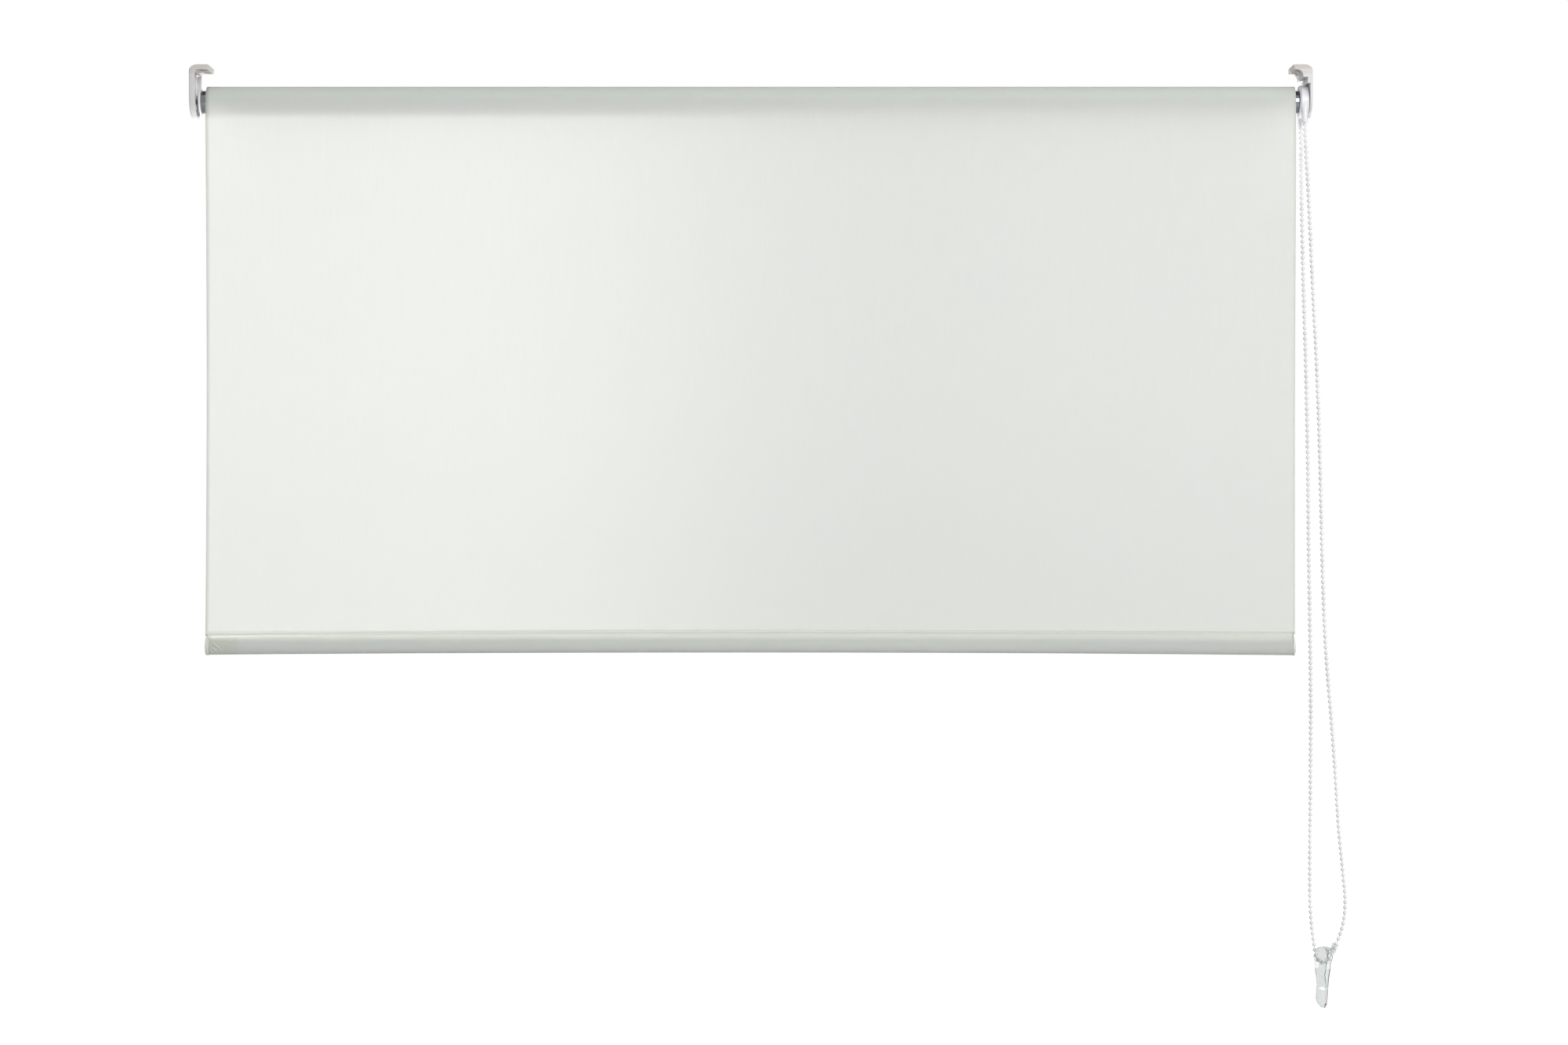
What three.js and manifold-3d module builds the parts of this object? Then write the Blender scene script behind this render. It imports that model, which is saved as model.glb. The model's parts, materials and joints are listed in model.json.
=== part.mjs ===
import * as THREE from "three";
import { mergeVertices } from "three/addons/utils/BufferGeometryUtils.js";
import Module from "manifold-3d";

const wasm = await Module();
wasm.setup();

// A chain-worked roller blind for a window 1.2 m wide. Lengths are millimetres.
// +X runs along the tube, -Y faces the room and +Z is up. The origin lies on the plane that
// the brackets hang from, above the tube axis and midway along the fabric.

// Shared clearances
const clearance = 0.3; // between pieces that seat on or turn in each other
const overrun = 3; // how far a cut runs past the face that it leaves
const weld = 0.5; // how far a rib or a boss sinks into the wall that carries it

// Fabric
const fabricWidth = 1200;
const fabricThickness = 0.45;
const rollRadius = 16.4;
const seamDrop = 583; // from the tube axis to the top of the hem's stitched tab
const edgeDrawIn = 0.7; // how far each free edge draws in at mid-height
const edgeCup = 1.2; // how far the free edges curl towards the window
const tabHeight = 3;
const tabThickness = 1.4;
const pocketDrop = 23.6; // from the tab to the pocket's lowest line
const pocketHeight = 17.2; // of the oval round the bar
const pocketThickness = 11;
const pocketWall = 0.55;

// Tube
const tubeRadius = 12.5;
const tubeWall = 1;
const tubeReach = 6; // past the fabric at each end

// Brackets
const axisDrop = 40; // from the mounting plane to the tube axis
const backReach = 25; // from the tube axis to the window side
const frontReach = 21; // from the tube axis to the room side
const bracketHeight = 58.2;
const flangeLength = 20;
const flangeThickness = 6;
const outerCornerRadius = 8;
const idleFilletRadius = 3;
const driveFilletRadius = 7;
const frontBevel = 5.5;
const plateEdgeRound = 1.5;
const screwHoleRadius = 2.25;
const screwHeadRadius = 4.3;
const screwHeadDepth = 2.2;
const screwSpacing = 22;
const screwInset = 5.2; // from the flange tip to the screw line

// Idle bracket, a tray that is open towards the tube
const trayDepth = 4;
const trayWall = 2.4;
const trayRim = 2.2;
const ribWidth = 1.8;
const pinBossRadius = 7;
const pinSeatDepth = 4.2;
const bossGap = 2; // between the boss and the idle plug's flange

// Drive bracket, a plate below a cored block
const drivePlate = 2.6;
const blockWidth = 10.5;
const blockDrop = 14.6;
const blockLip = 5;
const coreWall = 2;
const keyLength = 12; // the spindle's key, along Z
const keyWidth = 5;

// Bead chain
const beadRadius = 2.25;
const beadPitch = 6;
const threadRadius = 0.7;
const chainRoom = 0.4; // round a bead in the housing and its spouts

// Chain wheel
const pocketCount = 15;
const pocketTurnShare = 0.25; // of a pitch, from the room side to the first pocket
const wheelWidth = 6.9;
const wheelRimRise = 0.6; // of the wheel's rim over the bead centres
const threadGrooveWidth = 2.4;
const threadGrooveDepth = 2;
const wheelHubRadius = 8.2;
const wheelHubReach = 8;
const fingerThickness = 1;
const fingerReach = 25;
const fingerHalfAngle = Math.PI * 0.36;

// Clutch housing
const lidThickness = 1.2;
const housingWall = 1.1;
const housingBack = 1.3;
const housingEdge = 0.8;
const spoutWall = 0.85;
const spoutTipWall = 0.5;
const spoutDrop = 24; // from the tube axis to the spout tips

// Clutch spindle, springs and sleeve
const spindleRadius = 5;
const spindleReach = 38; // past the tube's end, into the tube
const spindleCapRadius = 7.4;
const spindleCapThickness = 2.4;
const spindleScrewRadius = 1.6;
const spindleScrewDepth = 4.8;
const wrapWireRadius = 0.5;
const wrapTurns = 6;
const wrapLength = 9.6;
const wrapGap = 2.2; // between the two springs
const sleeveWall = 2.4;
const sleeveEndWall = 2;
const sleeveRibCount = 8;
const sleeveRibHeight = 0.5;

// Idle plug, pin and spring
const plugFlangeRadius = 14.2;
const plugFlangeBevel = 1;
const plugFlangeThickness = 3;
const plugLength = 30;
const plugRibCount = 8;
const plugRibHeight = 0.5;
const plugShoulder = 2.5; // from the flange's inner face to the spring chamber
const pinRadius = 2.4;
const pinTipChamfer = 0.8;
const pinCollarRadius = 3.9;
const pinCollarWidth = 2;
const pinTail = 10;
const pinTravel = 6;
const springWireRadius = 0.35;
const springTurns = 8;
const stopThickness = 2;

// Bottom bar and its caps
const barWall = 1;
const barInset = 3; // from the fabric's edge to the bar's end
const capWall = 0.8;
const capGrip = 3.6; // how far a cap reaches over the hem
const capTenon = 8;

// Chain tensioner, in its own frame with its origin at the hub's centre
const hubCentre = new THREE.Vector3(634, 0, -981.6);
const hubTurn = -THREE.MathUtils.degToRad(38); // about the vertical
const hubTilt = THREE.MathUtils.degToRad(4.3); // lower end towards the fabric
const hubRadius = 7.6;
const tensionerHeight = 68.4;
const tensionerUpperWidth = 21;
const tensionerLowerWidth = 15.6;
const tensionerDepth = 11.5;
const tensionerWall = 1.6;
const tensionerChamfer = 4;
const guardDrop = 17; // from the hub's centre to the closed part of the channel
const slotDrop = 39;
const slotLength = 9;
const slotHeight = 3.6;

// Chain connector
const connectorLength = 9;
const connectorWall = 1;
const connectorRoom = 0.5; // round the chain, which bends inside it

// The chain's free run, from the front spout down round the tensioner's hub and up to the rear
// spout. Each row is X, Y and Z.
const chainPoints = [
  [611.3, -14.3, -52.5],
  [611.3, -14.3, -66],
  [612.3, -14.6, -90],
  [615.4, -15, -145],
  [619.3, -15.2, -230],
  [623.8, -15.4, -320],
  [627.2, -15.6, -410],
  [629.4, -15.8, -500],
  [631.4, -16, -580],
  [635.2, -16.3, -660],
  [640.2, -16.5, -720],
  [644.6, -16, -780],
  [648.4, -15, -840],
  [653.4, -13.6, -890],
  [656.2, -12, -922],
  [654.6, -10.2, -946],
  [649.6, -8.4, -964],
  [644.6, -7, -975],
  [642.2, -6.3, -983],
  [639.3, -4.5, -989.4],
  [633.2, 0, -991.9],
  [627.8, 4.5, -988.5],
  [625.9, 6.3, -981],
  [624.4, 7, -969],
  [622.2, 8, -950],
  [620.9, 9, -925],
  [620.7, 10, -885],
  [621.3, 11, -830],
  [621.9, 12, -760],
  [622.1, 13, -690],
  [621.3, 14, -610],
  [620.1, 14.8, -530],
  [619.4, 15.2, -450],
  [617.6, 15.4, -350],
  [614.8, 15.2, -255],
  [612.6, 14.8, -165],
  [611.5, 14.4, -100],
  [611.3, 14.3, -66],
  [611.3, 14.3, -52.5],
];
const connectorPlaceShare = 0.4474; // along the points above, on the run beside the hub

// Counts of facets
const roundSteps = 48;
const smallSteps = 24;
const arcSteps = 8;
const edgeSteps = 3;
const wireSides = 5;
const turnSteps = 10; // along one turn of a spring
const pocketColumns = 10;
const beadColumns = 12;
const beadRows = 8;
const threadSides = 6;
const threadSteps = 28;
const chainSides = 8;
const connectorSides = 12;

// Sizes that follow
const tubeEnd = fabricWidth / 2 + tubeReach;
const tubeBore = tubeRadius - tubeWall;
const plugBodyRadius = tubeBore - clearance - plugRibHeight;
const sleeveRadius = tubeBore - clearance - sleeveRibHeight;
const pitchRadius = (pocketCount * beadPitch) / (2 * Math.PI);
const wheelRadius = pitchRadius + wheelRimRise;
const cavityRadius = pitchRadius + beadRadius + chainRoom;
const housingRadius = cavityRadius + housingWall;
const spoutBore = beadRadius + chainRoom;
const lidStart = tubeEnd + clearance;
const lidEnd = lidStart + lidThickness;
const wheelStart = lidEnd + clearance;
const wheelEnd = wheelStart + wheelWidth;
const beadPlane = wheelStart + wheelWidth / 2;
const housingInside = wheelEnd + clearance;
const housingEnd = housingInside + housingBack;
const driveInner = housingEnd + clearance;
const driveOuter = driveInner + drivePlate;
const plugFlangeEnd = tubeEnd + clearance + plugFlangeThickness;
const idleInner = plugFlangeEnd + bossGap;
const idleOuter = idleInner + trayDepth + trayWall;
const nestDrop = axisDrop - housingRadius - 2 * clearance;
const bracketDepth = frontReach + backReach;
const bracketMiddle = (backReach - frontReach) / 2;
const bottomRadius = bracketDepth / 2;
const sheetPlane = -(rollRadius + clearance + fabricThickness / 2);
const seamHeight = -axisDrop - seamDrop;
const pocketTop = seamHeight - tabHeight;
const pocketCentre = pocketTop - pocketDrop + pocketHeight / 2;
const barEnd = fabricWidth / 2 - barInset;

// Materials
const finish = (color, roughness, metalness, more = {}) =>
  new THREE.MeshStandardMaterial({ color, roughness, metalness, ...more });
const bracketPlastic = finish("#d5d1ce", 0.45, 0);
const clutchPlastic = finish("#f1f1ef", 0.38, 0);
const chainPlastic = finish("#eeeeec", 0.35, 0);
const clearPlastic = finish("#e4ecea", 0.08, 0, { transparent: true, opacity: 0.35 });
const capPlastic = finish("#ecebe4", 0.4, 0);
const innerPlastic = finish("#c9c9c6", 0.5, 0);
const steel = finish("#b9bcc0", 0.18, 1);
const springSteel = finish("#8f9296", 0.35, 1);
const aluminium = finish("#c7c9ca", 0.35, 1);
const cloth = finish("#dfe2dc", 0.9, 0);

// Solids
function solidOf(geometry) {
  const bare = geometry.index ? geometry.clone() : mergeVertices(geometry.clone());
  bare.deleteAttribute("normal");
  bare.deleteAttribute("uv");
  const merged = mergeVertices(bare);
  const position = merged.getAttribute("position");
  const corners = [];
  for (let i = 0; i < merged.index.count; i += 3) {
    const [a, b, c] = [0, 1, 2].map((k) => merged.index.getX(i + k));
    if (a !== b && b !== c && c !== a) corners.push(a, b, c);
  }
  const [a, b, c] = [new THREE.Vector3(), new THREE.Vector3(), new THREE.Vector3()];
  let volume = 0;
  for (let i = 0; i < corners.length; i += 3) {
    a.fromBufferAttribute(position, corners[i]);
    b.fromBufferAttribute(position, corners[i + 1]);
    c.fromBufferAttribute(position, corners[i + 2]);
    volume += a.dot(b.cross(c));
  }
  if (volume < 0) {
    for (let i = 0; i < corners.length; i += 3) {
      [corners[i + 1], corners[i + 2]] = [corners[i + 2], corners[i + 1]];
    }
  }
  return new wasm.Manifold(
    new wasm.Mesh({
      numProp: 3,
      vertProperties: new Float32Array(position.array),
      triVerts: new Uint32Array(corners),
    }),
  );
}

function geometryOf(solid) {
  const mesh = solid.getMesh();
  const geometry = new THREE.BufferGeometry();
  geometry.setAttribute("position", new THREE.BufferAttribute(new Float32Array(mesh.vertProperties), 3));
  geometry.setIndex(new THREE.BufferAttribute(new Uint32Array(mesh.triVerts), 1));
  geometry.computeVertexNormals();
  return geometry;
}

const join = (first, ...rest) => rest.reduce((sum, next) => sum.add(next), first);
const cut = (first, ...rest) => rest.reduce((left, next) => left.subtract(next), first);

// Outlines
const shapeOf = (points) => new THREE.Shape(points.map(([a, b]) => new THREE.Vector2(a, b)));

function arc(a, b, radius, start, end, steps = arcSteps) {
  return Array.from({ length: steps + 1 }, (_, i) => {
    const angle = start + ((end - start) * i) / steps;
    return [a + radius * Math.cos(angle), b + radius * Math.sin(angle)];
  });
}

function ellipse(a, b, radiusA, radiusB, steps = roundSteps) {
  return Array.from({ length: steps }, (_, i) => {
    const angle = (2 * Math.PI * i) / steps;
    return [a + radiusA * Math.cos(angle), b + radiusB * Math.sin(angle)];
  });
}

const box = (a0, a1, b0, b1) => [
  [a0, b0],
  [a1, b0],
  [a1, b1],
  [a0, b1],
];

// Extrusions of an outline along an axis, between two places on it
function extrude(outline, length, options = {}) {
  const shape = outline instanceof THREE.Shape ? outline : shapeOf(outline);
  return new THREE.ExtrudeGeometry(shape, { depth: length, bevelEnabled: false, ...options });
}

function alongX(outline, x0, x1, options) {
  const turn = new THREE.Matrix4().makeBasis(
    new THREE.Vector3(0, 1, 0),
    new THREE.Vector3(0, 0, 1),
    new THREE.Vector3(1, 0, 0),
  );
  return solidOf(extrude(outline, x1 - x0, options).applyMatrix4(turn).translate(x0, 0, 0));
}

function alongY(outline, y0, y1, options) {
  return solidOf(extrude(outline, y1 - y0, options).rotateX(Math.PI / 2).translate(0, y1, 0));
}

function alongZ(outline, z0, z1, options) {
  return solidOf(extrude(outline, z1 - z0, options).translate(0, 0, z0));
}

// Turned solids: each profile point is a place along the axis and a radius.
function lathe(profile, steps) {
  return new THREE.LatheGeometry(
    profile.map(([along, radius]) => new THREE.Vector2(radius, along)),
    steps,
  );
}

function turnedX(profile, steps = roundSteps, y = 0, z = -axisDrop) {
  return solidOf(lathe(profile, steps).rotateZ(-Math.PI / 2).translate(0, y, z));
}

const rodX = (radius, x0, x1, steps = roundSteps, y = 0, z = -axisDrop) =>
  turnedX([[x0, 0], [x0, radius], [x1, radius], [x1, 0]], steps, y, z);

const ringX = (inner, outer, x0, x1, steps = roundSteps) =>
  turnedX([[x0, inner], [x0, outer], [x1, outer], [x1, inner], [x0, inner]], steps);

function turnedZ(profile, x, y, steps = smallSteps) {
  return solidOf(lathe(profile, steps).rotateX(Math.PI / 2).translate(x, y, 0));
}

const rodZ = (radius, x, y, z0, z1, steps = smallSteps) =>
  turnedZ([[z0, 0], [z0, radius], [z1, radius], [z1, 0]], x, y, steps);

// The blind
const blind = new THREE.Group();

function place(name, solid, material, parent = blind) {
  const mesh = new THREE.Mesh(geometryOf(solid), material);
  mesh.name = name;
  parent.add(mesh);
  return mesh;
}

// Brackets: the front outline and the side outline, each extruded and intersected
function bracketBlank(side, outer, filletRadius, innerSteps) {
  const tip = outer - flangeLength;
  const front = [
    [tip, 0],
    ...arc(outer - outerCornerRadius, -outerCornerRadius, outerCornerRadius, Math.PI / 2, 0),
    [outer, -bracketHeight - overrun],
    ...innerSteps,
    ...arc(
      innerSteps.at(-1)[0] - filletRadius,
      -flangeThickness - filletRadius,
      filletRadius,
      0,
      Math.PI / 2,
    ),
    [tip, -flangeThickness],
  ].map(([x, z]) => [side * x, z]);
  const flat = -bracketHeight + bottomRadius;
  const profile = [
    [-frontReach, -frontBevel],
    [-frontReach + frontBevel, 0],
    [backReach, 0],
    ...arc(bracketMiddle, flat, bottomRadius, 0, -Math.PI, roundSteps / 2),
  ];
  const reach = flangeLength + overrun;
  const ends = side > 0 ? [outer - reach, outer - plateEdgeRound] : [plateEdgeRound - outer, reach - outer];
  const edge = {
    bevelEnabled: true,
    bevelThickness: plateEdgeRound,
    bevelSize: plateEdgeRound,
    bevelOffset: -plateEdgeRound,
    bevelSegments: edgeSteps,
  };
  return alongY(front, -frontReach - overrun, backReach + overrun).intersect(
    alongX(profile, ...ends, edge),
  );
}

function screwHoles(side, outer, filletRadius) {
  const x = side * (outer - flangeLength + screwInset);
  return [-1, 1].map((row) => {
    const y = bracketMiddle + (row * screwSpacing) / 2;
    const seat = -flangeThickness + screwHeadDepth;
    return join(
      rodZ(screwHoleRadius, x, y, -flangeThickness - overrun, overrun),
      rodZ(screwHeadRadius, x, y, -flangeThickness - filletRadius - overrun, seat),
    );
  });
}

function makeIdleBracket() {
  const blank = bracketBlank(-1, idleOuter, idleFilletRadius, [
    [idleInner, -bracketHeight - overrun],
  ]);
  const floor = -(idleOuter - trayWall);
  const mouth = -idleInner;
  const trayTop = -flangeThickness - idleFilletRadius;
  const flat = -bracketHeight + bottomRadius;
  const tray = alongX(
    [
      [-frontReach + trayRim, trayTop],
      [backReach - trayRim, trayTop],
      ...arc(bracketMiddle, flat, bottomRadius - trayRim, 0, -Math.PI, roundSteps / 2),
    ],
    floor,
    mouth + overrun,
  );
  const boss = rodX(pinBossRadius, floor - weld, mouth, smallSteps);
  const spine = alongX(
    box(-ribWidth / 2, ribWidth / 2, -axisDrop, trayTop + weld),
    floor - weld,
    mouth - ribWidth,
  );
  const web = alongX(
    box(-frontReach + trayRim / 2, backReach - trayRim / 2, -axisDrop - ribWidth / 2, -axisDrop + ribWidth / 2),
    floor - weld,
    mouth - ribWidth,
  );
  const seat = rodX(pinRadius + clearance, mouth - pinSeatDepth, mouth + overrun, smallSteps);
  // A ramp that lets the sprung pin slide in from the room side
  const ramp = alongY(
    [
      [mouth + overrun, -axisDrop - pinRadius - clearance],
      [mouth + overrun, -axisDrop + pinRadius + clearance],
      [mouth - trayWall / 2, -axisDrop + pinRadius + clearance],
      [mouth - trayWall / 2, -axisDrop - pinRadius - clearance],
    ],
    -pinBossRadius - overrun,
    0,
  );
  const holes = screwHoles(-1, idleOuter, idleFilletRadius);
  return cut(join(cut(blank, tray), boss, spine, web), seat, ramp, ...holes);
}

function makeDriveBracket() {
  const block = driveOuter - blockWidth;
  const blank = bracketBlank(1, driveOuter, driveFilletRadius, [
    [driveInner, -bracketHeight - overrun],
    [driveInner, -nestDrop],
    [block + blockLip, -nestDrop],
    [block + blockLip, -blockDrop],
    [block, -blockDrop],
  ]);
  const core = alongY(
    box(block + blockLip + coreWall, driveOuter - coreWall, -nestDrop + coreWall, -flangeThickness - coreWall),
    -frontReach + frontBevel + coreWall,
    backReach + overrun,
  );
  const keyway = alongX(
    box(
      -keyWidth / 2 - clearance,
      keyWidth / 2 + clearance,
      -axisDrop - keyLength / 2 - clearance,
      -axisDrop + keyLength / 2 + clearance,
    ),
    driveInner - overrun,
    driveOuter + overrun,
  );
  return cut(blank, core, keyway, ...screwHoles(1, driveOuter, driveFilletRadius));
}

place("left_bracket", makeIdleBracket(), bracketPlastic);
place("right_bracket", makeDriveBracket(), bracketPlastic);

// Tube and wound cloth
place("roller_tube", ringX(tubeBore, tubeRadius, -tubeEnd, tubeEnd), steel);

// The outer layer winds one turn over a plain core and ends in a step where the sheet leaves it.
function makeRoll() {
  const outline = Array.from({ length: roundSteps + 1 }, (_, i) => {
    const angle = Math.PI + (2 * Math.PI * i) / roundSteps;
    const radius = rollRadius - (fabricThickness * (roundSteps - i)) / roundSteps;
    return [radius * Math.cos(angle), -axisDrop + radius * Math.sin(angle)];
  });
  const shape = shapeOf(outline);
  shape.holes.push(
    new THREE.Path(
      ellipse(0, -axisDrop, tubeRadius + clearance, tubeRadius + clearance).map(
        ([y, z]) => new THREE.Vector2(y, z),
      ),
    ),
  );
  return alongX(shape, -fabricWidth / 2, fabricWidth / 2);
}

place("fabric_roll", makeRoll(), cloth);

// The hanging sheet is one grid of points on each face, drawn in and cupped at its free edges.
function makeSheet() {
  const columns = 32;
  const rows = 14;
  const top = -axisDrop;
  const bottom = seamHeight + clearance;
  const positions = [];
  const index = [];
  for (const face of [-1, 1]) {
    for (let row = 0; row <= rows; row++) {
      const down = row / rows;
      const bow = Math.sin(Math.PI * down);
      for (let column = 0; column <= columns; column++) {
        const across = (2 * column) / columns - 1;
        positions.push(
          across * (fabricWidth / 2 - edgeDrawIn * bow),
          sheetPlane + edgeCup * bow * across ** 8 + (face * fabricThickness) / 2,
          top + (bottom - top) * down,
        );
      }
    }
  }
  const count = (rows + 1) * (columns + 1);
  const at = (face, row, column) => face * count + row * (columns + 1) + column;
  const quad = (a, b, c, d) => index.push(a, b, c, a, c, d);
  for (let row = 0; row < rows; row++) {
    for (let column = 0; column < columns; column++) {
      quad(at(0, row, column), at(0, row + 1, column), at(0, row + 1, column + 1), at(0, row, column + 1));
      quad(at(1, row, column), at(1, row, column + 1), at(1, row + 1, column + 1), at(1, row + 1, column));
    }
    quad(at(0, row, 0), at(1, row, 0), at(1, row + 1, 0), at(0, row + 1, 0));
    quad(at(0, row, columns), at(0, row + 1, columns), at(1, row + 1, columns), at(1, row, columns));
  }
  for (let column = 0; column < columns; column++) {
    quad(at(0, 0, column), at(0, 0, column + 1), at(1, 0, column + 1), at(1, 0, column));
    quad(at(0, rows, column), at(1, rows, column), at(1, rows, column + 1), at(0, rows, column + 1));
  }
  const geometry = new THREE.BufferGeometry();
  geometry.setAttribute("position", new THREE.Float32BufferAttribute(positions, 3));
  geometry.setIndex(index);
  return solidOf(geometry);
}

place("fabric_sheet", makeSheet(), cloth);

// Hem: a pocket that narrows from an oval round the bar to a stitched tab
const pocketHalf = pocketThickness / 2;
const pocketRise = pocketHeight / 2;
const barHalf = pocketHalf - pocketWall - clearance;
const barRise = pocketRise - pocketWall - clearance;
const oval = (inset, steps) =>
  ellipse(sheetPlane, pocketCentre, pocketHalf - inset, pocketRise - inset, steps);

function teardrop(inset) {
  const [half, rise, neck] = [pocketHalf, pocketRise, tabThickness / 2].map((size) => size - inset);
  const [across, up] = [neck / half, (pocketTop - pocketCentre) / rise];
  const touch = Math.atan2(up, across) - Math.acos(1 / Math.hypot(across, up));
  const round = arc(0, 0, 1, touch, -Math.PI - touch, roundSteps).map(([a, b]) => [
    sheetPlane + half * a,
    pocketCentre + rise * b,
  ]);
  return [[sheetPlane + neck, pocketTop], ...round, [sheetPlane - neck, pocketTop]];
}

function makeHem() {
  const end = fabricWidth / 2;
  const tab = alongX(
    box(sheetPlane - tabThickness / 2, sheetPlane + tabThickness / 2, pocketTop - weld, seamHeight),
    -end,
    end,
  );
  const hollow = alongX(teardrop(pocketWall), -end - overrun, end + overrun);
  return join(cut(alongX(teardrop(0), -end, end), hollow), tab);
}

function makeBar() {
  const shape = shapeOf(ellipse(sheetPlane, pocketCentre, barHalf, barRise));
  const bore = ellipse(sheetPlane, pocketCentre, barHalf - barWall, barRise - barWall);
  shape.holes.push(new THREE.Path(bore.map(([y, z]) => new THREE.Vector2(y, z))));
  return alongX(shape, -barEnd, barEnd);
}

// A cap closes the hem's mouth, grips the pocket from outside and plugs into the bar.
function makeCap(side) {
  const start = fabricWidth / 2 - capGrip;
  const face = fabricWidth / 2 + clearance;
  const stretch = (x0, x1) => (side > 0 ? [x0, x1] : [-x1, -x0]);
  const shell = alongX(teardrop(-clearance - capWall), ...stretch(start, face + capWall));
  const room = alongX(teardrop(-clearance), ...stretch(start - overrun, face));
  const tenonInset = pocketWall + 2 * clearance + barWall;
  const tenon = alongX(oval(tenonInset, smallSteps), ...stretch(barEnd - capTenon, face + weld));
  return join(cut(shell, room), tenon);
}

place("hem_pocket", makeHem(), cloth);
place("bottom_bar", makeBar(), aluminium);
place("left_bar_cap", makeCap(-1), capPlastic);
place("right_bar_cap", makeCap(1), capPlastic);

// Ribs round a turned body
function ribs(count, root, crest, width, x0, x1) {
  return Array.from({ length: count }, (_, i) => {
    const bar = extrude(box(root - weld, crest, -width / 2, width / 2), x1 - x0);
    bar.rotateZ((2 * Math.PI * i) / count);
    const turn = new THREE.Matrix4().makeBasis(
      new THREE.Vector3(0, 1, 0),
      new THREE.Vector3(0, 0, 1),
      new THREE.Vector3(1, 0, 0),
    );
    return solidOf(bar.applyMatrix4(turn).translate(x0, 0, -axisDrop));
  });
}

// A wire wound round the tube axis
class Helix extends THREE.Curve {
  constructor(radius, x0, x1, turns) {
    super();
    Object.assign(this, { radius, x0, x1, turns });
  }
  getPoint(t) {
    const angle = 2 * Math.PI * this.turns * t;
    return new THREE.Vector3(
      this.x0 + (this.x1 - this.x0) * t,
      this.radius * Math.cos(angle),
      -axisDrop + this.radius * Math.sin(angle),
    );
  }
}

function makeSpring(radius, wire, x0, x1, turns) {
  const section = shapeOf(ellipse(0, 0, wire, wire, wireSides));
  const path = new Helix(radius, x0 + wire, x1 - wire, turns);
  return solidOf(new THREE.ExtrudeGeometry(section, { extrudePath: path, steps: turns * turnSteps }));
}

// Idle end: plug, sprung pin, spring and stop
const chamberRadius = pinCollarRadius + clearance;
const chamberMouth = -(tubeEnd + clearance - plugShoulder);
const plugInside = -(tubeEnd + clearance) + plugLength;
const collarStart = chamberMouth + clearance;
const collarEnd = collarStart + pinCollarWidth;
const pinTip = -(idleInner + pinSeatDepth - clearance);
const stopStart = plugInside - stopThickness;

function makePlug() {
  const flange = -(tubeEnd + clearance);
  const body = turnedX([
    [-plugFlangeEnd, 0],
    [-plugFlangeEnd, plugFlangeRadius - plugFlangeBevel],
    [-plugFlangeEnd + plugFlangeBevel, plugFlangeRadius],
    [flange, plugFlangeRadius],
    [flange, plugBodyRadius],
    [plugInside, plugBodyRadius],
    [plugInside, 0],
  ]);
  const teeth = ribs(
    plugRibCount,
    plugBodyRadius,
    plugBodyRadius + plugRibHeight,
    ribWidth,
    flange - plugFlangeThickness / 2,
    plugInside,
  );
  return cut(
    join(body, ...teeth),
    rodX(pinRadius + clearance, -plugFlangeEnd - overrun, plugInside, smallSteps),
    rodX(chamberRadius, chamberMouth, plugInside + overrun, smallSteps),
  );
}

const pinProfile = [
  [pinTip, 0],
  [pinTip, pinRadius - pinTipChamfer],
  [pinTip + pinTipChamfer, pinRadius],
  [collarStart, pinRadius],
  [collarStart, pinCollarRadius],
  [collarEnd, pinCollarRadius],
  [collarEnd, pinRadius],
  [collarEnd + pinTail, pinRadius],
  [collarEnd + pinTail, 0],
];
const pinSpringRadius = pinRadius + clearance + springWireRadius;

place("idle_plug", makePlug(), clutchPlastic);
place("idle_pin", turnedX(pinProfile, smallSteps), steel);
place(
  "idle_pin_spring",
  makeSpring(pinSpringRadius, springWireRadius, collarEnd + clearance, stopStart - clearance, springTurns),
  springSteel,
);
place(
  "idle_spring_stop",
  rodX(chamberRadius - clearance, stopStart, plugInside, smallSteps),
  innerPlastic,
);

// Chain wheel: bead pockets round the rim, a groove for the thread and two fingers on a hub
const pocketAngles = Array.from(
  { length: pocketCount },
  (_, i) => (2 * Math.PI * (i + pocketTurnShare)) / pocketCount,
);

function beadAt(angle, radius, columns) {
  const bead = new THREE.SphereGeometry(radius, columns, beadRows).rotateX(Math.PI / 2);
  return solidOf(
    bead.translate(
      beadPlane,
      pitchRadius * Math.cos(angle),
      -axisDrop + pitchRadius * Math.sin(angle),
    ),
  );
}

const wheelBore = spindleRadius + clearance;
const fingerInner = wheelHubRadius - fingerThickness;
const fingerEnd = wheelStart - wheelHubReach - fingerReach;

function makeWheel() {
  const rim = threadGrooveWidth / 2;
  const disc = turnedX([
    [wheelStart - wheelHubReach, 0],
    [wheelStart - wheelHubReach, wheelHubRadius],
    [wheelStart, wheelHubRadius],
    [wheelStart, wheelRadius],
    [beadPlane - rim, wheelRadius],
    [beadPlane - rim, wheelRadius - threadGrooveDepth],
    [beadPlane + rim, wheelRadius - threadGrooveDepth],
    [beadPlane + rim, wheelRadius],
    [wheelEnd, wheelRadius],
    [wheelEnd, 0],
  ]);
  const finger = (start) =>
    alongX(
      [
        ...arc(0, -axisDrop, wheelHubRadius, start, start + fingerHalfAngle),
        ...arc(0, -axisDrop, fingerInner, start + fingerHalfAngle, start),
      ],
      fingerEnd,
      wheelStart - wheelHubReach + weld,
    );
  return cut(
    join(disc, finger(0), finger(Math.PI)),
    rodX(wheelBore, fingerEnd, wheelEnd + overrun, smallSteps),
    ...pocketAngles.map((angle) => beadAt(angle, beadRadius + clearance, pocketColumns)),
  );
}

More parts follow.
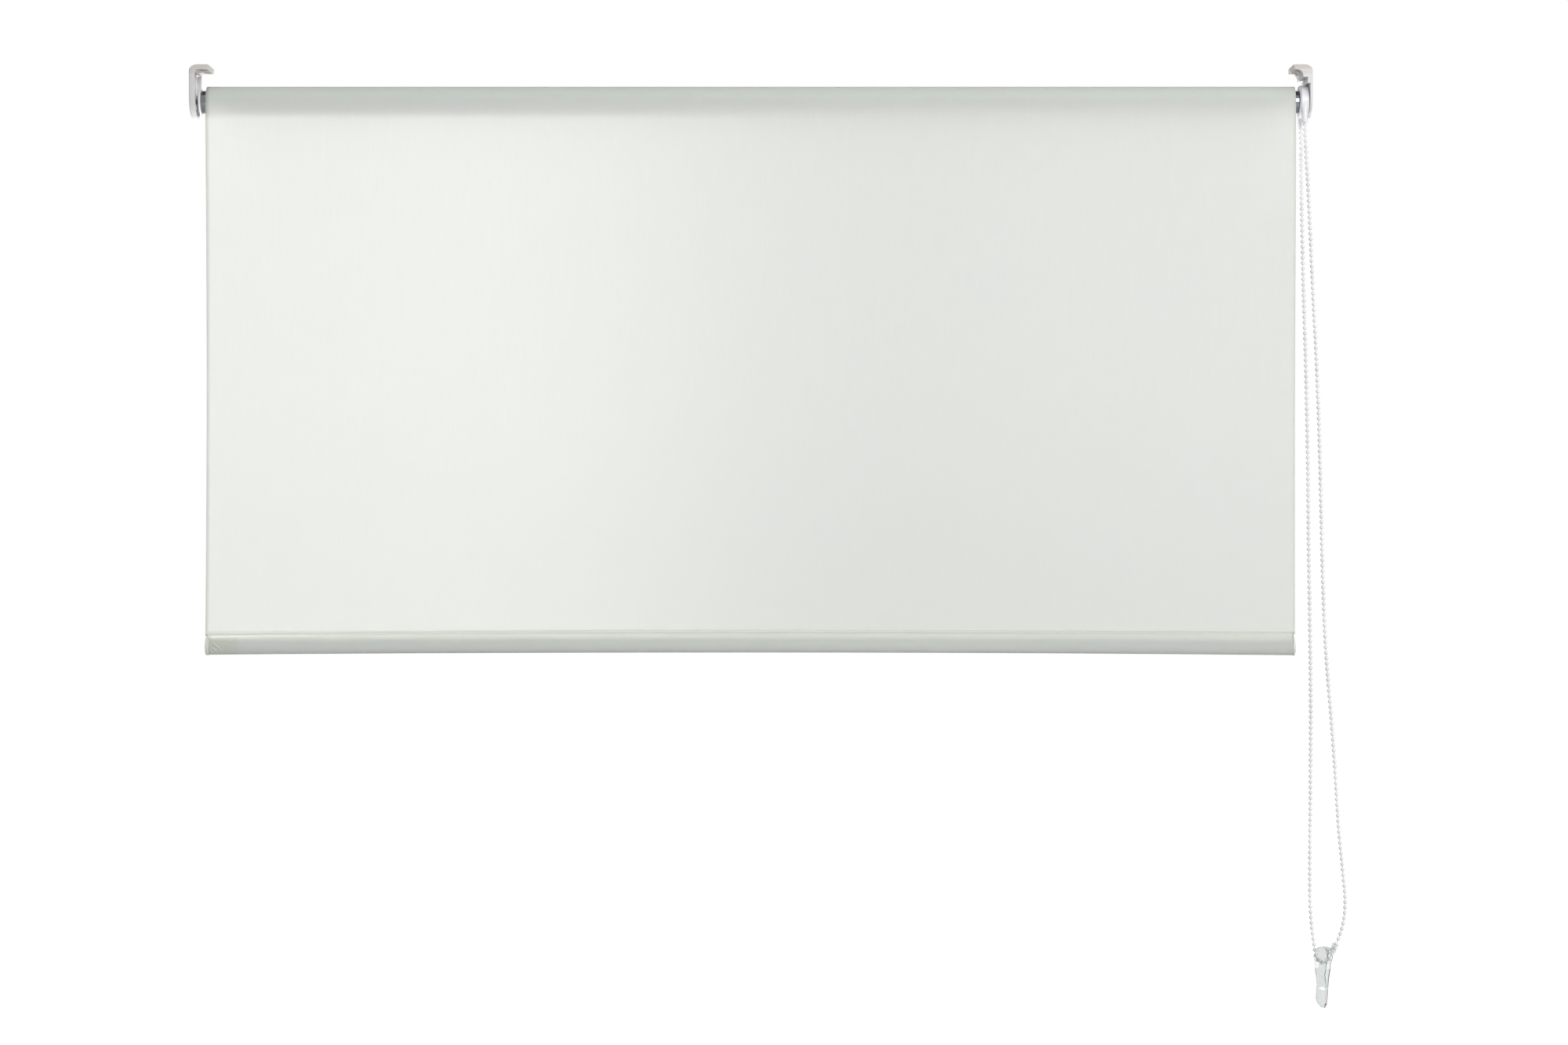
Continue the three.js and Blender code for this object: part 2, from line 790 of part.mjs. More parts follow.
// The beads that lie in the upper pockets, on their thread
function makeWheelBeads() {
  const upper = pocketAngles.filter((angle) => Math.sin(angle) > 0 && angle < Math.PI);
  const section = shapeOf(ellipse(0, 0, threadRadius, threadRadius, threadSides));
  const path = new THREE.CatmullRomCurve3(
    arc(0, 0, pitchRadius, upper[0], upper.at(-1), threadSteps / 2).map(
      ([y, z]) => new THREE.Vector3(beadPlane, y, z - axisDrop),
    ),
  );
  const thread = solidOf(new THREE.ExtrudeGeometry(section, { extrudePath: path, steps: threadSteps }));
  return join(thread, ...upper.map((angle) => beadAt(angle, beadRadius, beadColumns)));
}

// Housing: a cup with two spouts that lead the chain down, and its lid on the tube side
function makeHousing() {
  const cup = turnedX([
    [wheelStart, 0],
    [wheelStart, housingRadius],
    [housingEnd - housingEdge, housingRadius],
    [housingEnd, housingRadius - housingEdge],
    [housingEnd, 0],
  ]);
  const tip = -axisDrop - spoutDrop;
  const spouts = [-1, 1].map((side) =>
    turnedZ(
      [
        [tip, 0],
        [tip, spoutBore + spoutTipWall],
        [-axisDrop, spoutBore + spoutWall],
        [-axisDrop, 0],
      ],
      beadPlane,
      side * pitchRadius,
    ),
  );
  const bores = [-1, 1].map((side) =>
    rodZ(spoutBore, beadPlane, side * pitchRadius, tip - overrun, -axisDrop),
  );
  return cut(
    join(cup, ...spouts),
    rodX(cavityRadius, wheelStart - overrun, housingInside),
    rodX(spindleRadius + clearance, housingInside - overrun, housingEnd + overrun, smallSteps),
    ...bores,
  );
}

const lidProfile = [
  [lidStart, wheelHubRadius + clearance],
  [lidStart, housingRadius - housingEdge],
  [lidStart + housingEdge, housingRadius],
  [lidEnd, housingRadius],
  [lidEnd, wheelHubRadius + clearance],
  [lidStart, wheelHubRadius + clearance],
];

// Spindle: a fixed shaft with a key for the bracket and a cap at its inner end
const spindleEnd = tubeEnd - spindleReach;

function makeSpindle() {
  const shoulder = housingEnd + clearance / 2;
  const shaft = rodX(spindleRadius, spindleEnd, shoulder, smallSteps);
  const neck = rodX(keyWidth / 2, spindleEnd, driveOuter - clearance, smallSteps);
  const key = alongX(
    box(-keyWidth / 2, keyWidth / 2, -axisDrop - keyLength / 2, -axisDrop + keyLength / 2),
    shoulder,
    driveOuter - clearance,
  );
  const pilot = rodX(spindleScrewRadius, spindleEnd - overrun, spindleEnd + spindleScrewDepth, smallSteps);
  return cut(join(shaft, neck, key), pilot);
}

function makeSpindleCap() {
  const start = spindleEnd - clearance - spindleCapThickness;
  return join(
    rodX(spindleCapRadius, start, spindleEnd - clearance, smallSteps),
    rodX(spindleScrewRadius - clearance, spindleEnd - 2 * clearance, spindleEnd + spindleCapThickness, smallSteps),
  );
}

// Sleeve: keys into the tube and carries the fingers' turn
function makeSleeve() {
  const inside = spindleEnd - 2 * clearance - spindleCapThickness;
  const end = tubeEnd - clearance;
  const body = rodX(sleeveRadius, inside - sleeveEndWall, end);
  const teeth = ribs(
    sleeveRibCount,
    sleeveRadius,
    sleeveRadius + sleeveRibHeight,
    ribWidth,
    inside - sleeveEndWall,
    end,
  );
  return cut(
    join(body, ...teeth),
    rodX(sleeveRadius - sleeveWall, inside, end + overrun),
    rodX(spindleRadius, inside - sleeveEndWall - overrun, inside + overrun, smallSteps),
  );
}

const wrapRadius = spindleRadius + clearance + wrapWireRadius;
const wrapStart = fingerEnd + clearance;

place("chain_wheel", makeWheel(), clutchPlastic);
place("wheel_beads", makeWheelBeads(), chainPlastic);
place("clutch_housing", makeHousing(), clutchPlastic);
place("clutch_lid", turnedX(lidProfile), clutchPlastic);
place("clutch_spindle", makeSpindle(), innerPlastic);
place("spindle_cap", makeSpindleCap(), springSteel);
place("drive_sleeve", makeSleeve(), innerPlastic);
for (const [i, name] of ["inner_wrap_spring", "outer_wrap_spring"].entries()) {
  const start = wrapStart + i * (wrapLength + wrapGap);
  place(name, makeSpring(wrapRadius, wrapWireRadius, start, start + wrapLength, wrapTurns), springSteel);
}

// Bead chain: the curve steps evenly from point to point, so it bends where the points are close.
class Route extends THREE.CatmullRomCurve3 {
  getUtoTmapping(u) {
    return u;
  }
}

const route = new Route(chainPoints.map((point) => new THREE.Vector3(...point)));
const chainSection = shapeOf(ellipse(0, 0, beadRadius, beadRadius, chainSides));
place(
  "bead_chain",
  solidOf(
    new THREE.ExtrudeGeometry(chainSection, {
      extrudePath: route,
      steps: 2 * (chainPoints.length - 1),
    }),
  ),
  chainPlastic,
);

// Connector: a barrel that closes the loop, in two shells round the chain
function makeConnector() {
  const bore = beadRadius + connectorRoom;
  const outer = bore + connectorWall;
  const half = connectorLength / 2;
  const bevel = connectorWall / 2;
  const barrel = lathe(
    [
      [-half, bore],
      [-half, outer - bevel],
      [-half + bevel, outer],
      [half - bevel, outer],
      [half, outer - bevel],
      [half, bore],
      [-half, bore],
    ],
    connectorSides,
  );
  const turn = new THREE.Quaternion().setFromUnitVectors(
    new THREE.Vector3(0, 1, 0),
    route.getTangent(connectorPlaceShare).normalize(),
  );
  const at = route.getPoint(connectorPlaceShare);
  return solidOf(barrel.applyQuaternion(turn).translate(at.x, at.y, at.z));
}

place("chain_connector", makeConnector(), chainPlastic);

// Tensioner: a clear channel with a round hub for the chain, and a cover that closes it
const tensioner = new THREE.Group();
const tensionerTurn = new THREE.Group();
tensioner.position.copy(hubCentre);
tensioner.rotation.y = hubTilt;
tensionerTurn.rotation.z = hubTurn;
tensioner.add(tensionerTurn);
blind.add(tensioner);

const tensionerFoot = hubRadius - tensionerHeight;
const channelBack = tensionerDepth / 2 - tensionerWall;

function tensionerOutline(inset = 0) {
  const upper = tensionerUpperWidth / 2 - inset;
  const lower = tensionerLowerWidth / 2 - inset;
  const foot = tensionerFoot + inset;
  const side = [
    [hubRadius - inset, 0],
    [upper, -hubRadius],
    [upper, -guardDrop],
    [lower, -guardDrop - 2 * (upper - lower) - hubRadius],
    [lower, foot + tensionerChamfer],
    [lower - tensionerChamfer, foot],
  ];
  return [
    ...arc(0, 0, hubRadius - inset, Math.PI, 0, smallSteps / 2),
    ...side.slice(1),
    ...side
      .slice(1)
      .reverse()
      .map(([u, w]) => [-u, w]),
  ];
}

const slot = alongY(
  [
    ...arc((slotLength - slotHeight) / 2, -slotDrop, slotHeight / 2, -Math.PI / 2, Math.PI / 2),
    ...arc(-(slotLength - slotHeight) / 2, -slotDrop, slotHeight / 2, Math.PI / 2, (3 * Math.PI) / 2),
  ],
  -tensionerDepth,
  tensionerDepth,
);

function makeTensionerBody() {
  const back = alongY(tensionerOutline(), channelBack, tensionerDepth / 2);
  const coverRoom = -tensionerDepth / 2 + tensionerWall + clearance;
  const hub = alongY(ellipse(0, 0, hubRadius, hubRadius, smallSteps), coverRoom, channelBack + weld);
  const walls = cut(
    alongY(tensionerOutline(), coverRoom, channelBack + weld),
    alongY(tensionerOutline(tensionerWall), coverRoom - overrun, channelBack + weld + overrun),
    alongY(
      box(-tensionerUpperWidth, tensionerUpperWidth, -guardDrop, hubRadius + overrun),
      coverRoom - overrun,
      channelBack + weld + overrun,
    ),
  );
  return cut(join(back, hub, walls), slot);
}

function makeTensionerCover() {
  const face = -tensionerDepth / 2;
  return cut(alongY(tensionerOutline(), face, face + tensionerWall), slot);
}

place("tensioner_body", makeTensionerBody(), clearPlastic, tensionerTurn);
place("tensioner_cover", makeTensionerCover(), clearPlastic, tensionerTurn);

export default blind;
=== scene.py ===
import json
import math
import random
import bmesh
import bpy
from mathutils import Matrix, Vector

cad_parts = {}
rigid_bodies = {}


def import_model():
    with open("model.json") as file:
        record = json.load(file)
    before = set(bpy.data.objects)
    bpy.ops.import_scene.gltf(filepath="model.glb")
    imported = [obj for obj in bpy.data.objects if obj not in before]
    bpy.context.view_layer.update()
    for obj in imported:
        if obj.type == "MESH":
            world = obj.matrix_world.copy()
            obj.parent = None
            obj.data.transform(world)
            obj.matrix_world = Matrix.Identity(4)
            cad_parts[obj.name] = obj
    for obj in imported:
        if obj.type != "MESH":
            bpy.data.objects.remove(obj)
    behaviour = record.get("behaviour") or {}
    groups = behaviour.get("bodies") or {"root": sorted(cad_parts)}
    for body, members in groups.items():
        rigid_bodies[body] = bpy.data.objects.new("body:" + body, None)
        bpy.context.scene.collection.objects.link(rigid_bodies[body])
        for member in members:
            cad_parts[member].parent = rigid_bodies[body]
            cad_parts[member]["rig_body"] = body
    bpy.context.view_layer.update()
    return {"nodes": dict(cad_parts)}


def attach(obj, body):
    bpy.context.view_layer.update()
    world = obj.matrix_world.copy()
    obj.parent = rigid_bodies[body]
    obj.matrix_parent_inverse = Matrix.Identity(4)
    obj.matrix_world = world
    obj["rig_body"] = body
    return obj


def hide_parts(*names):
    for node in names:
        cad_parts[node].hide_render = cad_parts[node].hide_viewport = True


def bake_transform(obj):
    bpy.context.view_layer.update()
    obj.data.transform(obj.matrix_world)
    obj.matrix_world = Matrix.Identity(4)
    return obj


# A roller blind with its chain hanging at the right. The room is towards -Y and the window
# is towards +Y. Lengths are metres.
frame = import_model()
print("frame loaded")

axisHeight = -0.040  # the tube's axis
sheetPlane = -0.016925  # the middle of the hanging cloth
halfWidth = 0.6
seamHeight = -0.623  # top of the hem's tab


def addObject(name, data):
    made = bpy.data.objects.new(name, data)
    bpy.context.scene.collection.objects.link(made)
    return made


# Camera: level, in front of the middle of the photograph
camera = addObject("camera", bpy.data.cameras.new("camera"))
camera.location = (0.0373, -3.7169, -0.505)
camera.rotation_euler = (math.pi / 2, 0, 0)
camera.data.lens = 77.13
camera.data.sensor_width = 36
bpy.context.scene.camera = camera


# Node trees
class Wire:
    # An output socket, on which the usual operators add Math nodes
    def __init__(self, tree, socket):
        self.tree, self.socket = tree, socket

    def calc(self, operation, *values):
        return self.tree.node("ShaderNodeMath", {"operation": operation}, dict(enumerate(values)))

    def __add__(self, other):
        return self.calc("ADD", self, other)

    def __sub__(self, other):
        return self.calc("SUBTRACT", self, other)

    def __rsub__(self, other):
        return self.calc("SUBTRACT", other, self)

    def __mul__(self, other):
        return self.calc("MULTIPLY", self, other)

    def __truediv__(self, other):
        return self.calc("DIVIDE", self, other)

    def __pow__(self, other):
        return self.calc("POWER", self, other)

    def __gt__(self, other):
        return self.calc("GREATER_THAN", self, other)

    def __lt__(self, other):
        return self.calc("LESS_THAN", self, other)

    def __abs__(self):
        return self.calc("ABSOLUTE", self)

    __radd__ = __add__
    __rmul__ = __mul__

    def sine(self):
        return self.calc("SINE", self)

    def floor(self):
        return self.calc("FLOOR", self)

    def ramp(self, low, high):  # 0 below low, 1 above high
        return self.tree.node(
            "ShaderNodeMapRange",
            {"clamp": True, "interpolation_type": "SMOOTHSTEP"},
            {"Value": self, "From Min": low, "From Max": high},
        )


class Tree:
    def __init__(self, nodeTree):
        self.nodeTree = nodeTree
        nodeTree.nodes.clear()

    def node(self, kind, settings=None, values=None, out=0):
        made = self.nodeTree.nodes.new(kind)
        for name, value in (settings or {}).items():
            setattr(made, name, value)
        for name, value in (values or {}).items():
            socket = made.inputs[name]
            if isinstance(value, Wire):
                self.nodeTree.links.new(value.socket, socket)
            else:
                socket.default_value = value
        return Wire(self, made.outputs[out]) if len(made.outputs) else None

    def place(self):
        # Object coordinates, and each of the three by itself
        whole = self.node("ShaderNodeTexCoord", out="Object")
        return whole, *[
            self.node("ShaderNodeSeparateXYZ", None, {0: whole}, out=axis) for axis in "XYZ"
        ]

    def noise(self, point, stretch, scale, detail):
        stretched = self.node("ShaderNodeMapping", None, {"Vector": point, "Scale": stretch})
        return self.node(
            "ShaderNodeTexNoise",
            {"noise_dimensions": "3D"},
            {"Vector": stretched, "Scale": scale, "Detail": detail, "Roughness": 0.5},
        )

    def blendColour(self, share, one, other):
        return self.node(
            "ShaderNodeMix",
            {"data_type": "RGBA", "blend_type": "MIX", "clamp_factor": True},
            {"Factor": share, 6: one, 7: other},
            out=2,
        )

    def bump(self, height, strength, distance):
        return self.node(
            "ShaderNodeBump", None, {"Height": height, "Strength": strength, "Distance": distance}
        )

    def principled(self, values):
        return self.node("ShaderNodeBsdfPrincipled", None, values)

    def finish(self, shader):
        self.node("ShaderNodeOutputMaterial", None, {"Surface": shader})


def colour(red, green, blue):
    # A colour as it looks on screen, from 0 to 255, as linear light
    values = [v / 255 for v in (red, green, blue)]
    return *[v / 12.92 if v <= 0.04045 else ((v + 0.055) / 1.055) ** 2.4 for v in values], 1


def newMaterial(name):
    material = bpy.data.materials.new(name)
    material.use_nodes = True
    return material, Tree(material.node_tree)


def plasticMaterial(name, base, shade, roughness, grain=0.00004, coat=0.0, topShade=None):
    material, tree = newMaterial(name)
    point, _, _, z = tree.place()
    cloud = tree.noise(point, (1, 1, 1), 40, 3)
    speck = tree.noise(point, (1, 1, 1), 2600, 2)
    fine = tree.noise(point, (1, 1, 1), 420, 3)
    clouded = cloud.ramp(0.35, 0.7) * 0.6 + fine * 0.15
    tinted = tree.blendColour(clouded, colour(*base), colour(*shade))
    if topShade:  # painted shade: the top is tinted darker and warmer
        height, fade, warmTint = topShade
        top = z.ramp(height - fade, height)
        tinted = tree.blendColour(top * 0.8, tinted, colour(*warmTint))
    shader = tree.principled({
        "Base Color": tinted,
        "Roughness": roughness - 0.06 + cloud * 0.12,
        "Coat Weight": coat,
        "Coat Roughness": 0.12,
        "IOR": 1.49,
        "Normal": tree.bump(speck * 0.6 + fine * 0.4, 0.5, grain),
    })
    tree.finish(shader)
    return material


def clearMaterial(name, base, shade):
    material, tree = newMaterial(name)
    point = tree.place()[0]
    flow = tree.noise(point, (30, 30, 12), 1, 2)
    scuff = tree.noise(point, (300, 300, 300), 1, 4).ramp(0.62, 0.85)
    shader = tree.principled({
        "Base Color": tree.blendColour(flow, colour(*base), colour(*shade)),
        "Roughness": 0.02 + scuff * 0.08,
        "Transmission Weight": 0.95,
        "IOR": 1.45,
        "Normal": tree.bump(flow, 0.2, 0.00006),
    })
    tree.finish(shader)
    return material


def metalMaterial(name, base, shade, roughness, lines, depth):
    # Drawn or rolled metal: fine lines along X and a few duller places
    material, tree = newMaterial(name)
    point = tree.place()[0]
    drawn = tree.noise(point, (lines * 0.012, lines, lines), 1, 3)
    dull = tree.noise(point, (14, 60, 60), 1, 3)
    shader = tree.principled({
        "Base Color": tree.blendColour(drawn * 0.7, colour(*base), colour(*shade)),
        "Metallic": 1.0,
        "Roughness": roughness + dull.ramp(0.45, 0.75) * 0.12,
        "Normal": tree.bump(drawn, 0.4, depth),
    })
    tree.finish(shader)
    return material


# Meshes
weldDistance = 0.0000001


def makePiece(name, points, faces, materials, smooth=True):
    mesh = bpy.data.meshes.new(name)
    mesh.from_pydata([tuple(p) for p in points], [], faces)
    for material in materials:
        mesh.materials.append(material)
    shape = bmesh.new()
    shape.from_mesh(mesh)
    bmesh.ops.remove_doubles(shape, verts=shape.verts, dist=weldDistance)
    bmesh.ops.delete(shape, geom=[v for v in shape.verts if not v.link_faces], context="VERTS")
    shape.to_mesh(mesh)
    shape.free()
    mesh.polygons.foreach_set("use_smooth", [smooth] * len(mesh.polygons))
    mesh.update()
    return addObject(name, mesh)


def makeLine(name, points, links):
    mesh = bpy.data.meshes.new(name)
    mesh.from_pydata(points, links, [])
    return addObject(name, mesh)


def clampedStep(value):
    value = max(0.0, min(1.0, value))
    return value * value * (3 - 2 * value)


# Geometry nodes
def geometryTree(name, sizes):
    # A modifier tree with one named input for each size, and its wires
    group = bpy.data.node_groups.new(name, "GeometryNodeTree")
    for way in ("INPUT", "OUTPUT"):
        group.interface.new_socket("Geometry", in_out=way, socket_type="NodeSocketGeometry")
    identifiers = {}
    for label, value in sizes.items():
        kind = "NodeSocketInt" if isinstance(value, int) else "NodeSocketFloat"
        socket = group.interface.new_socket(label, in_out="INPUT", socket_type=kind)
        socket.default_value = value
        identifiers[label] = socket.identifier
    tree = Tree(group)
    start = group.nodes.new("NodeGroupInput")
    wires = {s.name: Wire(tree, s) for s in start.outputs if s.name}
    return group, tree, wires, identifiers


def tubeAlong(tree, line, sides, diameter):
    section = tree.node(
        "GeometryNodeCurvePrimitiveCircle",
        {"mode": "RADIUS"},
        {"Resolution": sides, "Radius": diameter / 2},
    )
    return tree.node(
        "GeometryNodeCurveToMesh",
        None,
        {"Curve": line, "Profile Curve": section, "Fill Caps": True},
    )


def endTree(tree, geometry, material, smooth=True):
    made = tree.node("GeometryNodeRealizeInstances", None, {0: geometry})
    if smooth:
        made = tree.node("GeometryNodeSetShadeSmooth", None, {0: made})
    made = tree.node("GeometryNodeSetMaterial", None, {"Geometry": made, "Material": material})
    tree.node("NodeGroupOutput", None, {0: made})


def grow(target, group, identifiers, sizes, name):
    # Runs the tree on the target and keeps the result as a plain mesh
    modifier = target.modifiers.new(name, "NODES")
    modifier.node_group = group
    for label, value in sizes.items():
        modifier[identifiers[label]] = value
    graph = bpy.context.evaluated_depsgraph_get()
    mesh = bpy.data.meshes.new_from_object(target.evaluated_get(graph), depsgraph=graph)
    target.modifiers.remove(modifier)
    piece = addObject(name, mesh)
    bpy.data.objects.remove(target)
    return piece


# Bead chain and its thread
chain = {
    "beadDiameter": 0.0045,
    "pitch": 0.006,
    "threadDiameter": 0.0014,
    "threadSides": 6,
    "columns": 10,
    "rings": 7,
    "steps": 12,  # from one point of the route to the next
    "pathStep": 3,
    "connectorEdge": 0.0002,
    "colour": (237, 237, 236),
    "shade": (216, 217, 221),
}
chainRoute = [
    (0.6113, -0.0143, -0.0525), (0.6113, -0.0143, -0.066), (0.6123, -0.0146, -0.09),
    (0.6154, -0.015, -0.145), (0.6193, -0.0152, -0.23), (0.6238, -0.0154, -0.32),
    (0.6272, -0.0156, -0.41), (0.6294, -0.0158, -0.5), (0.6314, -0.016, -0.58),
    (0.6352, -0.0163, -0.66), (0.6402, -0.0165, -0.72), (0.6446, -0.016, -0.78),
    (0.6484, -0.015, -0.84), (0.6534, -0.0136, -0.89), (0.6562, -0.012, -0.922),
    (0.6546, -0.0102, -0.946), (0.6496, -0.0084, -0.964), (0.6446, -0.007, -0.975),
    (0.6422, -0.0063, -0.983), (0.6393, -0.0045, -0.9894), (0.6332, 0, -0.9919),
    (0.6278, 0.0045, -0.9885), (0.6259, 0.0063, -0.981), (0.6244, 0.007, -0.969),
    (0.6222, 0.008, -0.95), (0.6209, 0.009, -0.925), (0.6207, 0.01, -0.885),
    (0.6213, 0.011, -0.83), (0.6219, 0.012, -0.76), (0.6221, 0.013, -0.69),
    (0.6213, 0.014, -0.61), (0.6201, 0.0148, -0.53), (0.6194, 0.0152, -0.45),
    (0.6176, 0.0154, -0.35), (0.6148, 0.0152, -0.255), (0.6126, 0.0148, -0.165),
    (0.6115, 0.0144, -0.1), (0.6113, 0.0143, -0.066), (0.6113, 0.0143, -0.0525),
]
chainPlastic = plasticMaterial("chainPlastic", chain["colour"], chain["shade"], 0.34, coat=0.2)
clearPlastic = clearMaterial("clearPlastic", (237, 239, 238), (230, 233, 232))


def smoothRoute(points, steps):
    # Centripetal Catmull-Rom through the points
    ends = [points[0] * 2 - points[1], *points, points[-1] * 2 - points[-2]]
    found = []
    for a, b, c, d in zip(ends, ends[1:], ends[2:], ends[3:]):
        s, t, u = [(q - p).length ** 0.5 for p, q in ((a, b), (b, c), (c, d))]
        leave = ((b - a) / s - (c - a) / (s + t) + (c - b) / t) * t
        arrive = ((c - b) / t - (d - b) / (t + u) + (d - c) / u) * t
        for i in range(steps):
            k = i / steps
            found.append(
                b * (2 * k**3 - 3 * k**2 + 1)
                + leave * (k**3 - 2 * k**2 + k)
                + c * (3 * k**2 - 2 * k**3)
                + arrive * (k**3 - k**2)
            )
    return [*found, points[-1]]


# For dressed copies, in degrees: facets that turn less than this become one face, and an edge
# that turns more than this stays an edge
flatAngle, sharpAngle = 0.6, 32


def dressed(name, title, material, edge=0.0, reshape=None, cuts=()):
    # A copy of a hard piece, its facets shaded as one surface and its corners eased.
    # It is cut by each plane (point, normal) before it is reshaped.
    node = frame["nodes"][name]
    faces = [tuple(face.vertices) for face in node.data.polygons]
    piece = makePiece(title, [v.co for v in node.data.vertices], faces, [material])
    shape = bmesh.new()
    shape.from_mesh(piece.data)
    bmesh.ops.dissolve_limit(
        shape, angle_limit=math.radians(flatAngle), verts=shape.verts, edges=shape.edges
    )
    for place, normal in cuts:
        whole = [*shape.verts, *shape.edges, *shape.faces]
        bmesh.ops.bisect_plane(shape, geom=whole, plane_co=place, plane_no=normal)
    if reshape:
        for vertex in shape.verts:
            vertex.co = reshape(vertex.co)
    shape.to_mesh(piece.data)
    shape.free()
    piece.data.polygons.foreach_set("use_smooth", [True] * len(piece.data.polygons))
    piece.data.set_sharp_from_angle(angle=math.radians(sharpAngle))
    if edge:
        eased = piece.modifiers.new("edges", "BEVEL")
        eased.width, eased.segments = edge, 2
        eased.limit_method, eased.angle_limit = "ANGLE", math.radians(sharpAngle)
        eased.harden_normals = True
    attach(piece, node["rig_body"])
    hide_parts(name)
    return piece


# The tensioner narrows and flattens below its hub more than its solids do
tensioner = {
    "hub": (0.634, 0, -0.9816),
    "tilt": 4.3,  # degrees
    "turn": -38,
    "edge": 0.0004,
    # At each height from the hub: the share of the width, a shift and the share of the depth
    "taper": [
        (-0.0040, 1.0, 0.0, 1.0),
        (-0.0090, 0.695, 0.0001, 1.0),
        (-0.0120, 0.652, 0.0003, 1.0),
        (-0.0227, 0.61, 0.0009, 1.05),
        (-0.0340, 0.788, 0.0019, 0.45),
        (-0.0510, 0.81, 0.0021, 0.4),
        (-0.0560, 0.625, 0.0029, 0.4),
        (-0.0610, 0.41, 0.0049, 0.36),
    ],
    # The foot is lifted by this, growing from its start down over its reach
    "footLift": 0.0013,
    "footStart": -0.048,
    "footReach": 0.012,
}
hub = Vector(tensioner["hub"])
turned = (
    Matrix.Rotation(math.radians(tensioner["tilt"]), 3, "Y")
    @ Matrix.Rotation(math.radians(tensioner["turn"]), 3, "Z")
)
levels = [
    (hub + turned @ Vector((0, 0, row[0])), turned @ Vector((0, 0, 1)))
    for row in tensioner["taper"][:-1]
]


def tapered(point):
    rows = tensioner["taper"]
    x, y, z = turned.inverted() @ (point - hub)
    if z >= rows[0][0]:
        return point
    upper, lower = next(
        ((a, b) for a, b in zip(rows, rows[1:]) if z >= b[0]), (rows[-2], rows[-1])
    )
    k = (upper[0] - z) / (upper[0] - lower[0])
    width, shift, depth = [a + (b - a) * k for a, b in zip(upper[1:], lower[1:])]
    rise = clampedStep((tensioner["footStart"] - z) / tensioner["footReach"])
    lifted = z + tensioner["footLift"] * rise
    return hub + turned @ Vector((x * width + shift, y * depth, lifted))


def makeChain():
    route = smoothRoute([Vector(p) for p in chainRoute], chain["steps"])
    length = sum((q - p).length for p, q in zip(route, route[1:]))
    curve = bpy.data.curves.new("chainLine", "CURVE")
    curve.dimensions = "3D"
    spline = curve.splines.new("POLY")
    spline.points.add(len(route) - 1)
    for target, p in zip(spline.points, route):
        target.co = (*p, 1)
    line = addObject("chainLine", curve)
    # The first and the last bead lie just inside the route's ends
    beads = round((length - chain["beadDiameter"]) / chain["pitch"]) + 1
    sizes = {
        "Beads": beads,
        "Bead diameter": chain["beadDiameter"],
        "Thread diameter": chain["threadDiameter"],
        "End": chain["beadDiameter"] / 2 / length,
    }
    group, tree, wires, identifiers = geometryTree("beadsOnThread", sizes)
    trimmed = tree.node(
        "GeometryNodeTrimCurve",
        {"mode": "FACTOR"},
        {"Curve": wires["Geometry"], "Start": wires["End"], "End": 1 - wires["End"]},
    )
    spots = tree.node(
        "GeometryNodeCurveToPoints", {"mode": "COUNT"}, {"Curve": trimmed, "Count": wires["Beads"]}
    )
    turn = Wire(tree, spots.socket.node.outputs["Rotation"])
    bead = tree.node(
        "GeometryNodeMeshUVSphere",
        None,
        {
            "Segments": chain["columns"],
            "Rings": chain["rings"],
            "Radius": wires["Bead diameter"] / 2,
        },
    )
    smoothed = tree.node("GeometryNodeSetShadeSmooth", None, {0: bead})
    placed = tree.node(
        "GeometryNodeInstanceOnPoints",
        None,
        {"Points": spots, "Instance": smoothed, "Rotation": turn},
    )
    thread = tubeAlong(tree, wires["Geometry"], chain["threadSides"], wires["Thread diameter"])
    joined = tree.nodeTree.nodes.new("GeometryNodeJoinGeometry")
    for part in (thread, placed):
        tree.nodeTree.links.new(part.socket, joined.inputs[0])
    endTree(tree, Wire(tree, joined.outputs[0]), chainPlastic, smooth=False)
    piece = grow(line, group, identifiers, sizes, "beadChain")
    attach(piece, "frame")
    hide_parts("bead_chain")
    edge = tensioner["edge"]
    dressed("chain_connector", "chainConnector", clearPlastic, chain["connectorEdge"])
    dressed("tensioner_body", "tensionerBody", clearPlastic, edge, tapered, levels)
    dressed("tensioner_cover", "tensionerCover", clearPlastic, edge, tapered, levels)
    print("chain:", beads, "beads on", round(length, 3), "m")


makeChain()

# The hem bows. How far each of its lines hangs below a straight one: in the middle, and for
# the square of the distance from there to the left and to the right
bows = {
    "top": (0.00125, 0.0072, 0.0016),  # the tab's upper fold
    "groove": (0.0006, 0.0146, 0.0078),
    "bar": (-0.0008, 0.0066, 0.0083),
}


def bowed(x, line):
    middle, left, right = bows[line]
    return middle + (left if x < 0 else right) * x * x


# Cloth
cloth = {
    "thickness": 0.00045,
    "thread": 0.0006,  # from one thread to the next
    "colour": (236, 237, 235),
    "warm": (236.5, 237, 233.5),
    # The wound cloth is the hanging cloth in painted shade, darker and greener
    "rollShadeColour": (180, 210, 188),
    # The hem's cloth is painted paler than the hanging cloth, as painted light
    "hemLitColour": (245, 247, 243.5),
    "through": 0.55,  # of the light that the sheet takes in
    "hemThrough": 0.68,
    "edge": 0.0022,  # width of the yellower strip along the sheet's sides
    "edgeFade": 0.0008,
    "edgeColour": (232, 235, 220),
}
# One faint crease, X and Z: a point on it, the direction across it, its width and how far from
# its middle it fades
crease = {
    "point": (0.272, -0.390),
    "across": (0.515, 0.857),
    "width": 0.004,
    "middle": 0.305,
    "fade": (0.02, 0.045),
}
# Painted shade in the hem's groove, and a warmer tint on the cloth over the left cap's tongue, with
# where each fades
grooveShade = {"drop": 0.0002, "fade": (0.0002, 0.0008), "colour": (196, 199, 190)}
warmTint = {"right": (-0.5642, -0.5636), "top": (-0.6345, -0.631), "colour": (222, 222, 205)}


